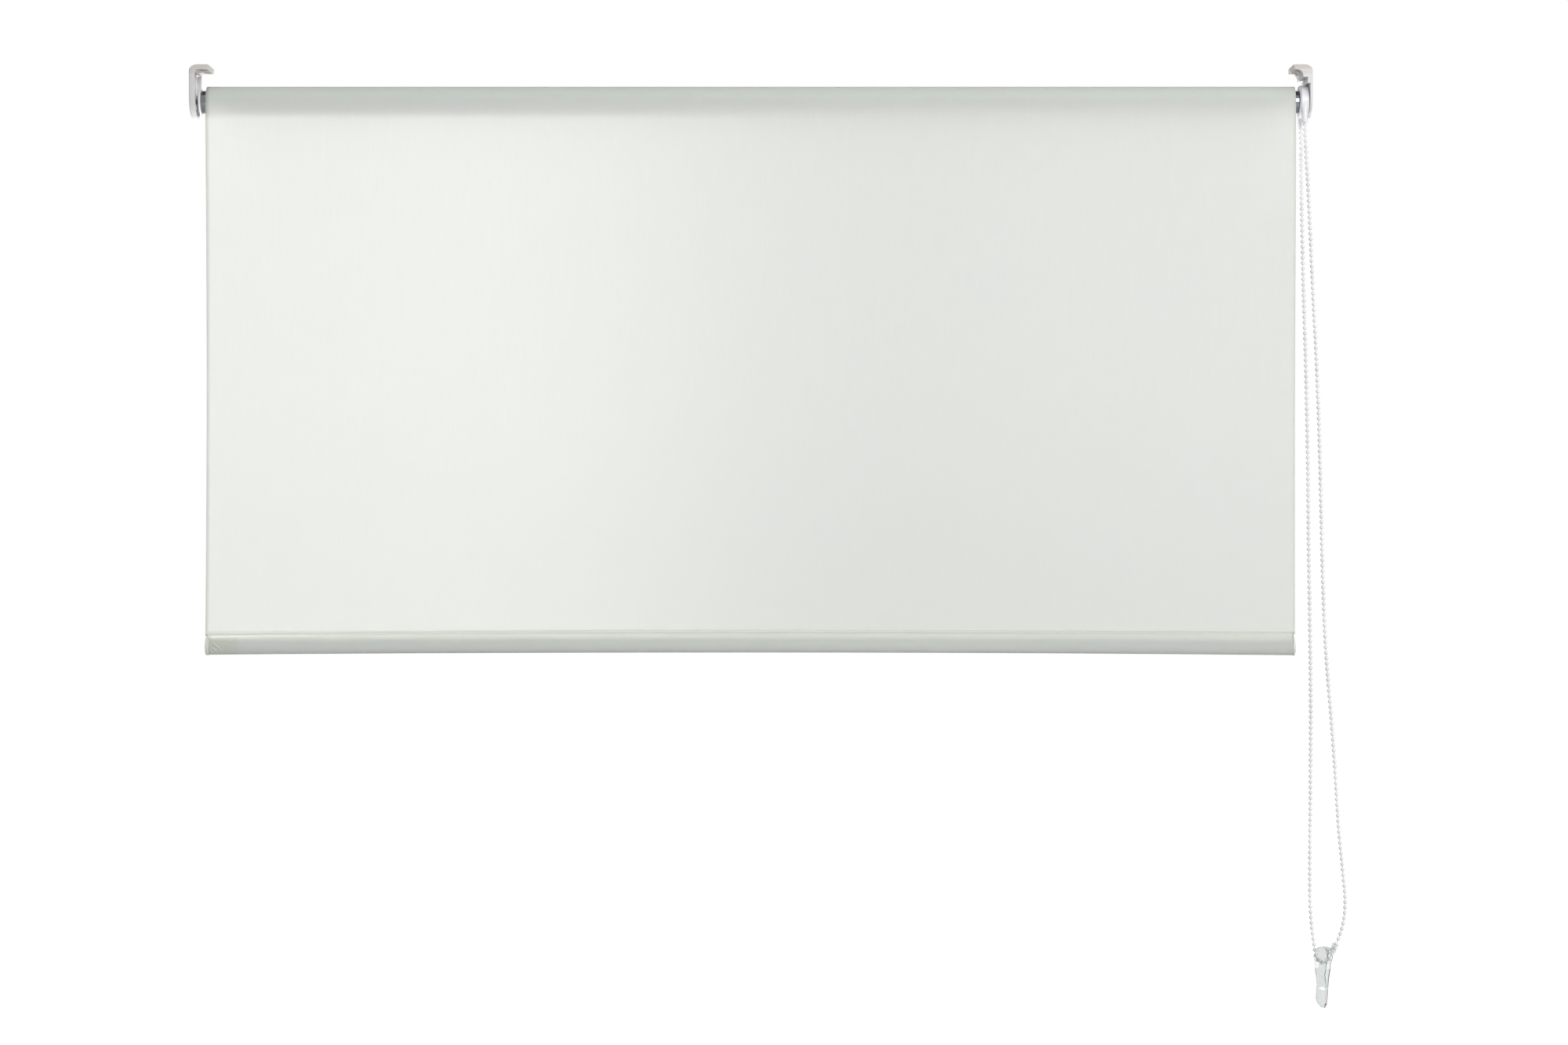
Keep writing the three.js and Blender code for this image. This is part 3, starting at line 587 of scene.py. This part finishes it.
def clothMaterial(name, base, warm, through, edge=0.0, creaseAndLowShade=False, seam=False):
    material, tree = newMaterial(name)
    point, x, _, z = tree.place()
    pitch = cloth["thread"]
    across = (x * (math.pi / pitch)).sine()
    along = (z * (math.pi / pitch)).sine()
    turn = ((x / pitch).floor() + (z / pitch).floor()) * 0.5
    over = abs(turn - turn.floor()) > 0.25
    weave = over * abs(across) + (1 - over) * abs(along)
    # Thick places in the threads, most of them in the upright ones
    upright = tree.noise(point, (720, 720, 90), 1, 2).ramp(0.52, 0.8)
    level = tree.noise(point, (70, 70, 760), 1, 2).ramp(0.58, 0.82)
    streak = tree.noise(point, (420, 420, 24), 1, 3)
    patch = tree.noise(point, (5, 5, 5), 1, 3)
    slub = upright * 0.62 + level * 0.38
    tone = tree.blendColour(patch.ramp(0.3, 0.75), colour(*base), colour(*warm))
    darker = colour(*[v - 13 for v in base])
    paler = colour(*[min(v + 9, 250) for v in base])
    tone = tree.blendColour(slub * 0.4, tone, darker)
    tone = tree.blendColour(streak.ramp(0.5, 0.72) * 0.25, tone, paler)
    tone = tree.blendColour((1 - weave) * 0.12, tone, darker)
    if creaseAndLowShade:  # painted shade, darker towards the hem
        tone = tree.blendColour((1 - z.ramp(-0.66, -0.3)) * 0.4, tone, darker)
    height = weave * 0.5 + slub * 0.5 + streak * 0.3
    if seam:  # painted shade, darker towards the right and in the groove, and a warmer tint at the left
        tone = tree.blendColour(x.ramp(0.1, 0.55) * 0.5, tone, darker)
        middle, leftBow, rightBow = bows["groove"]
        low = x * x * ((x < 0.0) * (leftBow - rightBow) + rightBow) + middle
        groove = 1 - abs(z + low - (seamHeight - grooveShade["drop"])).ramp(*grooveShade["fade"])
        tone = tree.blendColour(groove * 0.55, tone, colour(*grooveShade["colour"]))
        behind = (1 - x.ramp(*warmTint["right"])) * (1 - z.ramp(*warmTint["top"]))
        tone = tree.blendColour(behind * 0.4, tone, colour(*warmTint["colour"]))
    if edge:  # the cut sides are a little yellower
        rim = abs(x).ramp(halfWidth - edge - cloth["edgeFade"], halfWidth - edge)
        tone = tree.blendColour(rim * 0.5, tone, colour(*cloth["edgeColour"]))
    normal = tree.bump(height, 0.35, 0.00012)
    if creaseAndLowShade:  # the crease, and a slight unevenness over the whole drop
        (x0, z0), (dx, dz) = crease["point"], crease["across"]
        line = abs((x - x0) * dx + (z - z0) * dz)
        off = abs(x - crease["middle"])
        near = (1 - line.ramp(0.0, crease["width"])) * (1 - off.ramp(*crease["fade"]))
        swell = tree.noise(point, (3.1, 3.1, 1.7), 1, 1)
        normal = tree.node(
            "ShaderNodeBump",
            None,
            {"Height": near * 0.12 + swell, "Strength": 0.5, "Distance": 0.0016, "Normal": normal},
        )
    shader = tree.principled({
        "Base Color": tone,
        "Roughness": 0.82 + slub * 0.1,
        "Specular IOR Level": 0.25,
        "Sheen Weight": 0.12,
        "Sheen Roughness": 0.6,
        "Normal": normal,
    })
    if through:
        glow = tree.node(
            "ShaderNodeBsdfTranslucent", None, {"Color": colour(*base), "Normal": normal}
        )
        thin = 1 - slub * 0.16  # thick threads pass less
        shader = tree.node("ShaderNodeMixShader", None, {0: thin * through, 1: shader, 2: glow})
    tree.finish(shader)
    return material


sheetCloth = clothMaterial(
    "sheetCloth", cloth["colour"], cloth["warm"], cloth["through"], cloth["edge"], creaseAndLowShade=True
)
# The wound cloth, in painted shade
rollClothShaded = clothMaterial("rollClothShaded", cloth["rollShadeColour"], cloth["rollShadeColour"], 0.0)
# The hem's cloth: painted light in its paler colour, and painted shade at its seam
hemClothLitShaded = clothMaterial(
    "hemClothLitShaded", cloth["hemLitColour"], cloth["hemLitColour"], cloth["hemThrough"], seam=True
)

sheet = {
    "columns": 240,
    "rows": 130,
    "closer": 0.15,  # how much closer the rows lie at both ends
    "wrapRows": 72,
    "wrapTurns": 0.97,  # of the outer layer on the roll
    "layer": 0.0005,  # how far a turn climbs
    "bow": 0.0006,  # how far the drop bows towards the room and back
    "drawIn": 0.0015,  # at the left, halfway down
    "spread": 0.0012,  # at the right, on the roll
    "spreadShare": 0.65,  # of the drop, over which it fades
    "tuck": 0.003,  # how far it reaches into the hem
}


def makeSheet():
    drop = axisHeight - seamHeight
    turns = 2 * math.pi * sheet["wrapTurns"]

    def even(u):  # what the joint's easing needs, so that the drop stretches evenly
        return 0.5 - math.sin(math.asin(1 - 2 * u) / 3)

    samples = 200
    most = max(even(i / samples) - i / samples for i in range(samples + 1))
    profile = []
    for i in range(sheet["wrapRows"]):
        angle = turns * (1 - i / sheet["wrapRows"])
        radius = -sheetPlane - sheet["layer"] * angle / (2 * math.pi)
        profile.append((-radius * math.cos(angle), axisHeight + radius * math.sin(angle), 0.0))
    for i in range(sheet["rows"] + 1):
        u = i / sheet["rows"]
        u = u * (1 - sheet["closer"]) + sheet["closer"] * clampedStep(u)
        y = sheetPlane - sheet["bow"] * (even(u) - u) / most
        profile.append((y, axisHeight - drop * u, u))
    profile.append((sheetPlane, seamHeight - sheet["tuck"], 1.0))
    points, faces = [], []
    count = sheet["columns"] + 1
    for y, z, u in profile:
        left = -halfWidth + sheet["drawIn"] * math.sin(math.pi * u)
        right = halfWidth + sheet["spread"] * (1 - clampedStep(u / sheet["spreadShare"]))
        for column in range(count):
            x = left + (right - left) * column / sheet["columns"]
            points.append((x, y, z - u * bowed(x, "top")))
    for row in range(len(profile) - 1):
        for column in range(sheet["columns"]):
            a = row * count + column
            faces.append((a, a + count, a + count + 1, a + 1))
    piece = makePiece("hangingCloth", points, faces, [sheetCloth])
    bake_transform(piece)
    thick = piece.modifiers.new("thickness", "SOLIDIFY")
    thick.thickness = cloth["thickness"]
    thick.offset = 0
    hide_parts("fabric_sheet")
    print("sheet made")


makeSheet()

# Wound cloth below the outer layer
roll = {
    "bore": 0.0128,
    "radius": 0.01625,
    "layers": 7,
    "inset": 0.0002,  # of the outer layer's edges from the hanging cloth's
    "uneven": 0.00028,  # how far the inner layers' edges can stand in from that
    "corner": (0.14, 0.18),  # of a layer's thickness, along and across
    "swell": (0.00004, 9),  # its height, and how far its wave turns at each length
    "columns": 96,
    "lengths": 24,
}


def makeRoll():
    random.seed(11)
    step = (roll["radius"] - roll["bore"]) / roll["layers"]
    edge = halfWidth - roll["inset"]
    left, right = [
        [edge - random.random() * roll["uneven"] for _ in range(roll["layers"])] for _ in range(2)
    ]
    left[-1] = right[-1] = edge

    def layers(reaches):
        # Out from the bore, up each layer's cut edge and over its corner
        found = [(reaches[0], roll["bore"])]
        along, across = [step * share for share in roll["corner"]]
        for i, reach in enumerate(reaches):
            low, high = roll["bore"] + step * i, roll["bore"] + step * (i + 1)
            if i:
                found.append((reach, low))
            found += [(reach, high - across), (reach - along, high)]
        return found

    profile = [(-x, radius) for x, radius in layers(left)]
    swell, turn = roll["swell"]
    for i in range(1, roll["lengths"]):
        x = -edge + 2 * edge * i / roll["lengths"]
        profile.append((x, roll["radius"] - swell * math.sin(turn * i)))
    profile += reversed(layers(right))
    points, faces = [], []
    for x, radius in profile:
        for i in range(roll["columns"]):
            angle = 2 * math.pi * i / roll["columns"]
            points.append((x, radius * math.cos(angle), axisHeight + radius * math.sin(angle)))
    rings, count = len(profile), roll["columns"]
    for ring in range(rings):
        for i in range(count):
            a, b = ring * count + i, ring * count + (i + 1) % count
            c, d = [(v + count) % (rings * count) for v in (a, b)]
            faces.append((a, c, d, b))
    piece = makePiece("woundCloth", points, faces, [rollClothShaded])
    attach(piece, "roller")
    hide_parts("fabric_roll")
    print("roll made")


makeRoll()

# Hem
hem = {
    # Half the tab's thickness at heights below the seam, down to the row of stitches
    # A pressed fold stands over a groove, and the stitches run below the groove
    "tab": [
        (-0.0018, 0.0003), (-0.0016, 0.00062), (-0.0014, 0.00078), (-0.0006, 0.0007),
        (-0.0001, 0.00036), (0.0003, 0.00034), (0.0007, 0.00074), (0.0015, 0.0008),
        (0.0022, 0.00066),
    ],
    "tabEnd": (0.003, 0.0007),
    "ledge": -0.001,  # what is below this follows the groove
    "mouths": (0.0025, 0.0015),  # how far the pocket's left and right ends stand in from the tab's
    "mouthReach": 0.03,  # the length over which they draw in
    "half": 0.0055,
    "rise": 0.008,  # of the oval round the bar
    "drop": 0.026,  # from the seam to the lowest line
    "wall": 0.00055,
    "flank": 6,
    "around": 92,
    # Cross sections: the spacing and the number of the close ones at each end, and the rest
    "closeLeft": (0.0005, 90),
    "closeRight": (0.001, 20),
    "between": 190,
    # Waves along the hem: how many, the most that one stands out, and the least and the most of
    # each one's radians in a metre, its start and its share
    "waves": 14,
    "pucker": 0.000026,
    "waveRates": (40, 900),
    "waveStarts": (0, 6.3),
    "waveShares": (0.3, 1),
    "puckerRise": 0.02,  # they grow over this height from the lowest line
    "tabShare": 0.25,  # how much of all this the tab shows
    # Folds pressed in at the left end: where each starts and ends, X and Z, and how deep it is
    "tucks": [
        ((-0.5955, -0.6378), (-0.5857, -0.6451), 0.0014),
        ((-0.5948, -0.6440), (-0.5905, -0.6488), 0.0009),
        ((-0.5838, -0.6354), (-0.5637, -0.6401), 0.0009),
        ((-0.5610, -0.6395), (-0.5440, -0.6378), 0.0003),
    ],
    "tuckWidth": 0.0007,
    # In shares of its length: how far a fold runs on at both ends, and how it starts and stops
    "tuckEase": (0.1, 0.25, 0.35),
    # The ridge beside a fold: its share of the fold's depth, how far away it is and its width
    "ridge": (0.7, 0.0016, 0.0011),
}


def teardrop(half, rise, neck, top, centre, count):
    # From the neck down one side, round the oval and up the other side
    across, up = neck / half, (top - centre) / rise
    touch = math.atan2(up, across) - math.acos(1 / math.hypot(across, up))
    y, z, steps = half * math.cos(touch), centre + rise * math.sin(touch), hem["flank"]
    flank = [(neck + (y - neck) * i / steps, top + (z - top) * i / steps) for i in range(steps)]
    turns = [touch - (math.pi + 2 * touch) * i / count for i in range(count + 1)]
    oval = [(half * math.cos(t), centre + rise * math.sin(t)) for t in turns]
    return [*flank, *oval, *[(-y, z) for y, z in reversed(flank)]]


def hemSection(x):
    # The outside and the inside at a place along the hem
    wall, half, rise = hem["wall"], hem["half"], hem["rise"]
    tabDrop, neck = hem["tabEnd"]
    low = bowed(x, "groove")
    top = seamHeight - tabDrop - low
    centre = seamHeight - hem["drop"] + rise - bowed(x, "bar")
    tab = [
        (y, seamHeight - down - (low if down > hem["ledge"] else bowed(x, "top")))
        for down, y in hem["tab"]
    ]
    outer = [
        *tab,
        *teardrop(half, rise, neck, top, centre, hem["around"]),
        *[(-y, z) for y, z in reversed(tab)],
    ]
    pocket = teardrop(half - wall, rise - wall, neck - wall, top - wall, centre, hem["around"])
    return outer, [*[pocket[0]] * len(tab), *pocket, *[pocket[-1]] * len(tab)]


def makeHem():
    random.seed(5)
    (leftStep, leftCount), (rightStep, rightCount) = hem["closeLeft"], hem["closeRight"]
    start, end = -halfWidth + leftStep * leftCount, halfWidth - rightStep * rightCount
    stations = [-halfWidth + leftStep * i for i in range(leftCount)]
    stations += [start + (end - start) * i / hem["between"] for i in range(hem["between"])]
    stations += [end + rightStep * i for i in range(rightCount + 1)]
    limits = [hem[key] for key in ("waveRates", "waveStarts", "waveShares")]
    waves = [[random.uniform(*limit) for limit in limits] for _ in range(hem["waves"])]
    bottom = seamHeight - hem["drop"]

    def lift(x, z, front):
        # How far the cloth stands out from the plain section
        value = hem["pucker"] * sum(math.sin(k * x + p) * a for k, p, a in waves)
        value *= clampedStep((z - bottom) / hem["puckerRise"])
        if front:
            (share, off, width), (past, start, stop) = hem["ridge"], hem["tuckEase"]
            for (x0, z0), (x1, z1), depth in hem["tucks"]:
                dx, dz = x1 - x0, z1 - z0
                along = ((x - x0) * dx + (z - z0) * dz) / (dx * dx + dz * dz)
                away = ((z - z0) * dx - (x - x0) * dz) / math.hypot(dx, dz)
                inside = clampedStep((along + past) / start)
                inside *= clampedStep((1 + past - along) / stop)
                value -= depth * inside * math.exp(-((away / hem["tuckWidth"]) ** 2))
                value += share * depth * inside * math.exp(-(((away - off) / width) ** 2))
        return value

    points, faces = [], []
    edges = len(hem["tab"])
    folds = sum(down < hem["ledge"] for down, y in hem["tab"])
    reach = hem["mouthReach"]
    for x in stations:
        outer, inner = hemSection(x)
        count = len(outer)
        drawn = hem["mouths"][x > 0] * clampedStep((abs(x) - halfWidth + reach) / reach)
        inward = math.copysign(drawn, x)
        for i, (y, z) in enumerate(outer):
            (y0, z0), (y1, z1) = outer[i - 1], outer[(i + 1) % count]
            ny, nz = z0 - z1, y1 - y0
            size = math.hypot(ny, nz) or 1
            onTab = i < edges or i >= count - edges
            out = lift(x, z, y > 0) * (hem["tabShare"] if onTab else 1)
            place = x if i < folds or i >= count - folds else x - inward
            points.append((place, sheetPlane - y - ny / size * out, z + nz / size * out))
        points += [(x - inward, sheetPlane - y, z) for y, z in inner]
    for s in range(len(stations) - 1):
        a, b = s * 2 * count, (s + 1) * 2 * count
        for i in range(count):
            j = (i + 1) % count
            faces.append((a + i, a + j, b + j, b + i))
            if inner[i] != inner[j]:
                faces.append((a + count + j, a + count + i, b + count + i, b + count + j))
    last = (len(stations) - 1) * 2 * count
    for i in range(count):
        j = (i + 1) % count
        faces.append((i, i + count, j + count, j))
        faces.append((last + j, last + j + count, last + i + count, last + i))
    piece = makePiece("hemPocket", points, faces, [hemClothLitShaded])
    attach(piece, "bottom_rail")
    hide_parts("hem_pocket")
    print("hem made")


makeHem()


def threadMaterial():
    material, tree = newMaterial("sewingThread")
    point, x, _, z = tree.place()
    twist = (x * 5200 + z * 5200).sine() * 0.5 + 0.5
    fuzz = tree.noise(point, (1, 1, 1), 1800, 3)
    shader = tree.principled({
        "Base Color": tree.blendColour(twist * 0.6, colour(214, 218, 210), colour(190, 195, 187)),
        "Roughness": 0.6 + fuzz * 0.2,
        "Normal": tree.bump(twist, 0.5, 0.00005),
    })
    tree.finish(shader)
    return material


sewingThread = threadMaterial()
stitches = {"Stitch pitch": 0.0028, "Stitch length": 0.0021, "Stitch width": 0.00042}
stitchBall = {"Segments": 6, "Rings": 5, "Radius": 0.5}  # one across, then scaled to a stitch
stitchRow = {
    "drop": 0.0026,  # from the seam
    "inset": 0.002,
    "side": 0.00072,  # from the middle of the tab
    "steps": 60,  # in which a row follows the hem's bow
}


def makeStitches():
    # A row on each side of the tab: one line, with a stitch laid along it at every pitch
    reach, height = halfWidth - stitchRow["inset"], seamHeight - stitchRow["drop"]
    side, steps = stitchRow["side"], stitchRow["steps"]
    row = [reach * (2 * i / steps - 1) for i in range(steps + 1)]
    points = [(x, sheetPlane + y, height - bowed(x, "groove")) for y in (-side, side) for x in row]
    line = makeLine("stitchLines", points, [(i, i + 1) for i in range(2 * steps + 1) if i != steps])
    group, tree, wires, identifiers = geometryTree("stitchRow", stitches)
    curve = tree.node("GeometryNodeMeshToCurve", None, {"Mesh": wires["Geometry"]})
    spots = tree.node(
        "GeometryNodeCurveToPoints",
        {"mode": "LENGTH"},
        {"Curve": curve, "Length": wires["Stitch pitch"]},
    )
    stitch = tree.node("GeometryNodeMeshUVSphere", None, stitchBall)
    size = tree.node(
        "ShaderNodeCombineXYZ",
        None,
        {"X": wires["Stitch length"], "Y": wires["Stitch width"], "Z": wires["Stitch width"]},
    )
    placed = tree.node(
        "GeometryNodeInstanceOnPoints", None, {"Points": spots, "Instance": stitch, "Scale": size}
    )
    endTree(tree, placed, sewingThread)
    piece = grow(line, group, identifiers, stitches, "hemStitches")
    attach(piece, "bottom_rail")
    print("stitches made")


makeStitches()

# Finishes of the hard pieces
finishes = {
    "brackets": ((213, 212, 212), (206, 204, 205), 0.46),
    "clutch": ((228, 228, 231), (216, 216, 221), 0.36),
    "inner": ((205, 205, 203), (190, 190, 188), 0.5),
    "caps": ((213, 215, 207), (201, 203, 194), 0.42),
    # painted reflection: the tube's steel is dark, as if it mirrored dark surroundings
    "tube": ((124, 126, 131), (104, 106, 111), 0.1, 900, 0.00001),
    "spring": ((150, 152, 155), (126, 128, 131), 0.3, 1200, 0.00001),
    # painted shade: the bar is darker than aluminium, for the shade inside the hem's pocket
    "bar": ((122, 124, 126), (108, 110, 112), 0.32, 700, 0.00002),
}
paintedTopShade = (-0.0105, 0.0015, (200, 194, 189))  # painted shade on the brackets' tops: from this height up, over this fade, and its colour
bracketPlastic = plasticMaterial(
    "bracketPlastic", *finishes["brackets"], grain=0.00006, topShade=paintedTopShade
)
clutchPlastic = plasticMaterial("clutchPlastic", *finishes["clutch"], coat=0.15)
innerPlastic = plasticMaterial("innerPlastic", *finishes["inner"])
capPlastic = plasticMaterial("capPlastic", *finishes["caps"], coat=0.1)
steelDarkReflection = metalMaterial("steelDarkReflection", *finishes["tube"])
springSteel = metalMaterial("springSteel", *finishes["spring"])
barAluminiumShaded = metalMaterial("barAluminiumShaded", *finishes["bar"])

# Spring behind the idle pin, with a closed turn at each end
pinSpring = {
    "left": -0.60083,  # against the pin's collar
    "right": -0.57896,  # against the stop
    "coilRadius": 0.00305,
    "wireDiameter": 0.0007,
    "closedPitch": 1.03,  # of the wire's diameter
    "openTurns": 6,
    "steps": 28,  # along a turn
    "sides": 10,
}


def makePinSpring():
    wire, turns = pinSpring["wireDiameter"], pinSpring["openTurns"] + 2
    left, right = pinSpring["left"], pinSpring["right"]
    reach, count = pinSpring["coilRadius"], turns * pinSpring["steps"] + 1
    closed = wire * pinSpring["closedPitch"]
    pitch = (right - left - 2 * closed) / pinSpring["openTurns"]
    points = []
    for i in range(count):
        turn = i / pinSpring["steps"]
        x = left + closed * min(turn, 1) + pitch * max(0, min(turn - 1, turns - 2))
        x += closed * max(0, turn - turns + 1)
        angle = 2 * math.pi * turn
        points.append((x, reach * math.cos(angle), axisHeight + reach * math.sin(angle)))
    line = makeLine("springLine", points, [(i, i + 1) for i in range(count - 1)])
    sizes = {"Wire diameter": wire, "Sides": pinSpring["sides"]}
    group, tree, wires, identifiers = geometryTree("wireOnLine", sizes)
    curve = tree.node("GeometryNodeMeshToCurve", None, {"Mesh": wires["Geometry"]})
    endTree(tree, tubeAlong(tree, curve, wires["Sides"], wires["Wire diameter"]), springSteel)
    piece = grow(line, group, identifiers, sizes, "pinSpring")
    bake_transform(piece)
    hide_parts("idle_pin_spring")
    print("pin spring made")


makePinSpring()

# Pieces that show are dressed copies: the copy's name, its finish and how far its corners
# are eased
shown = {
    "left_bracket": ("leftBracket", bracketPlastic, 0.0005),
    "right_bracket": ("rightBracket", bracketPlastic, 0.0005),
    "roller_tube": ("rollerTube", steelDarkReflection, 0.0002),
    "idle_pin": ("idlePin", steelDarkReflection, 0.0002),
    "idle_plug": ("idlePlug", clutchPlastic, 0.0002),
    "clutch_housing": ("clutchHousing", clutchPlastic, 0.0005),
    "clutch_lid": ("clutchLid", clutchPlastic, 0.0003),
}
for name, (title, material, edge) in shown.items():
    dressed(name, title, material, edge)

# The bar follows the hem's bow, cut across at every step, and is a little lower than its solid
bar = {"step": 0.05, "cuts": 11, "heightShare": 0.93}


def onBow(point):
    centre = seamHeight - hem["drop"] + hem["rise"]
    x, y, z = point
    return Vector((x, y, centre + (z - centre) * bar["heightShare"] - bowed(x, "bar")))


barCuts = [((bar["step"] * i, 0, 0), (1, 0, 0)) for i in range(-bar["cuts"], bar["cuts"] + 1)]
dressed("bottom_bar", "bottomBar", barAluminiumShaded, reshape=onBow, cuts=barCuts)

# Caps of the hem bar: each one's side, where its grip, its floor and its end stand, the height of
# its top and how far its end swells out at half its height
caps = {
    "left": (-1, 0.5956, 0.5977, 0.5998, -0.6311, 0.0009),
    "right": (1, 0.5979, 0.5987, 0.6003, -0.6268, 0.0016),
}
capShape = {
    "gap": 0.0001,
    "wall": 0.0004,
    "above": 0.0144,  # the end's swelling reaches this far up and down
    "below": 0.0098,
    "edge": 0.0003,
    "lipShare": 0.4,  # of the edge, at the mouth
    "endShare": 0.3,
    "around": 64,
    "sharp": 40,  # degrees
    "tenonEnd": 0.589,
    "tenonInset": 0.00215,
    "tenonOverlap": 0.0003,
    "tenonSides": 40,
}


def makeCap(name, side, start, inside, end, top, dome):
    gap, wall, edge = capShape["gap"], capShape["wall"], capShape["edge"]
    centre = seamHeight - hem["drop"] + hem["rise"] - bowed(side * halfWidth, "bar")

    def ring(inset, x, swell=0.0):
        half, rise, neck = hem["half"] - inset, hem["rise"] - inset, hem["tabEnd"][1] - inset
        found = []
        for y, z in teardrop(half, rise, neck, top - inset, centre, capShape["around"]):
            reach = capShape["above"] if z > centre else capShape["below"]
            found.append((side * (x - swell * ((z - centre) / reach) ** 2), sheetPlane - y, z))
        return found

    outside = -gap - wall
    lip, bevel = edge * capShape["lipShare"], edge * capShape["endShare"]
    rings = [
        ring(-gap, inside),
        ring(-gap, start),
        ring(outside + lip, start),
        ring(outside, start + lip),
        ring(outside, end - edge, dome),
        ring(outside + bevel, end - bevel, dome),
        ring(outside + edge, end, dome),
    ]
    count = len(rings[0])
    points = [p for r in rings for p in r]
    faces = []

    def joinRows(a, b, length):
        for i in range(length):
            j = (i + 1) % length
            faces.append((a + i, a + j, b + j, b + i))

    for r in range(len(rings) - 1):
        joinRows(r * count, (r + 1) * count, count)
    last = (len(rings) - 1) * count
    for i in range(count // 2 - 1):  # both end faces, in strips from front to back
        faces.append((i + 1, i, count - 1 - i, count - 2 - i))
        faces.append((last + i, last + i + 1, last + count - 2 - i, last + count - 1 - i))
    half, rise = [hem[key] - capShape["tenonInset"] for key in ("half", "rise")]
    base, sides = len(points), capShape["tenonSides"]
    for x in (capShape["tenonEnd"], inside + capShape["tenonOverlap"]):
        for i in range(sides):
            angle = 2 * math.pi * i / sides
            y, z = half * math.cos(angle), rise * math.sin(angle)
            points.append((side * x, sheetPlane + y, centre + z))
    joinRows(base, base + sides, sides)
    faces.append(tuple(base + i for i in reversed(range(sides))))
    faces.append(tuple(base + sides + i for i in range(sides)))
    piece = makePiece(name + "BarCap", points, faces, [capPlastic])
    shape = bmesh.new()
    shape.from_mesh(piece.data)
    bmesh.ops.recalc_face_normals(shape, faces=shape.faces)
    shape.to_mesh(piece.data)
    shape.free()
    piece.data.set_sharp_from_angle(angle=math.radians(capShape["sharp"]))
    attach(piece, "bottom_rail")
    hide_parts(name + "_bar_cap")


for name, values in caps.items():
    makeCap(name, *values)
print("caps and bar made")

# The inner pieces keep their solids and only take a finish
worn = {
    "idle_spring_stop": innerPlastic,
    "chain_wheel": clutchPlastic,
    "wheel_beads": chainPlastic,
    "clutch_spindle": innerPlastic,
    "spindle_cap": springSteel,
    "drive_sleeve": innerPlastic,
    "inner_wrap_spring": springSteel,
    "outer_wrap_spring": springSteel,
}
for name, material in worn.items():
    node = frame["nodes"][name]
    node.data.materials.clear()
    node.data.materials.append(material)
print("hard pieces finished")

# Studio
studio = {
    "fill": 0.5,  # light from all round
    "floor": -1.65,
    "backdrop": 12,
}
# Each lamp's place, what it faces, its width and height, its power and its spread in degrees
lamps = {
    "front": ((2.1, -3.9, 1.1), (0.1, 0, -0.3), (3.0, 3.0), 140, 180),
    "back": ((-0.4, 3.2, 0.2), (0, 0, -0.4), (3.2, 3.2), 2, 180),
    # On the left half of the cloth, from behind
    "beam": ((-0.98, 0.9, -0.2), (-0.98, 0, -0.2), (1.8, 1.8), 6, 40),
    # Narrow beams from below and behind, on the undersides of the two brackets
    "leftBounce": ((0.0, 0.32, -1.4), (-0.622, 0.005, -0.02), (0.05, 0.05), 0.016, 3.4),
    "rightBounce": ((0.0, 0.32, -1.4), (0.628, 0.005, -0.02), (0.05, 0.05), 0.016, 3.4),
}


def makeLamp(name, place, target, size, power, spread):
    lamp = addObject(name, bpy.data.lights.new(name, "AREA"))
    lamp.data.shape, lamp.data.energy = "RECTANGLE", power
    lamp.data.size, lamp.data.size_y = size
    lamp.data.spread = math.radians(spread)
    lamp.location = place
    lamp.rotation_euler = (Vector(target) - Vector(place)).to_track_quat("-Z", "Y").to_euler()
    lamp.visible_camera = False
    lamp.visible_glossy = name == "front"


for name, values in lamps.items():
    makeLamp(name, *values)


def seenDirectly(tree):
    rays = [
        tree.node("ShaderNodeLightPath", out=kind)
        for kind in ("Is Camera Ray", "Is Glossy Ray", "Is Transmission Ray")
    ]
    return (rays[0] + rays[1] + rays[2]) > 0.5


world = bpy.data.worlds.new("studio")
bpy.context.scene.world = world
world.use_nodes = True
sky = Tree(world.node_tree)
soft, white = [
    sky.node("ShaderNodeBackground", None, {"Color": (1, 1, 1, 1), "Strength": strength})
    for strength in (studio["fill"], 1.0)
]
both = sky.node("ShaderNodeMixShader", None, {0: seenDirectly(sky), 1: soft, 2: white})
sky.node("ShaderNodeOutputWorld", None, {"Surface": both})

floorMaterial, tree = newMaterial("floorPaint")
point, x, y, _ = tree.place()
grain = tree.noise(point, (1, 1, 1), 30, 3)
paint = tree.principled({
    "Base Color": tree.blendColour(grain, colour(204, 204, 203), colour(201, 201, 200)),
    "Roughness": 0.8,
})
# Where it is seen it is paint and a glow, which read as white round a faint shadow
away = (x * x + y * y) ** 0.5
pale = tree.blendColour(away.ramp(1.2, 3.4), (0.52, 0.52, 0.52, 1), (0.78, 0.78, 0.78, 1))
glow = tree.node("ShaderNodeEmission", None, {"Color": pale, "Strength": 1.0})
lit = tree.node("ShaderNodeAddShader", None, {0: paint, 1: glow})
tree.finish(tree.node("ShaderNodeMixShader", None, {0: seenDirectly(tree), 1: paint, 2: lit}))
side, level = studio["backdrop"], studio["floor"]
corners = [(-side, -side, level), (side, -side, level), (side, side, level), (-side, side, level)]
floor = makePiece("floor", corners, [(0, 1, 2, 3)], [floorMaterial], smooth=False)

bpy.context.scene.view_settings.view_transform = "Standard"
print("scene finished")
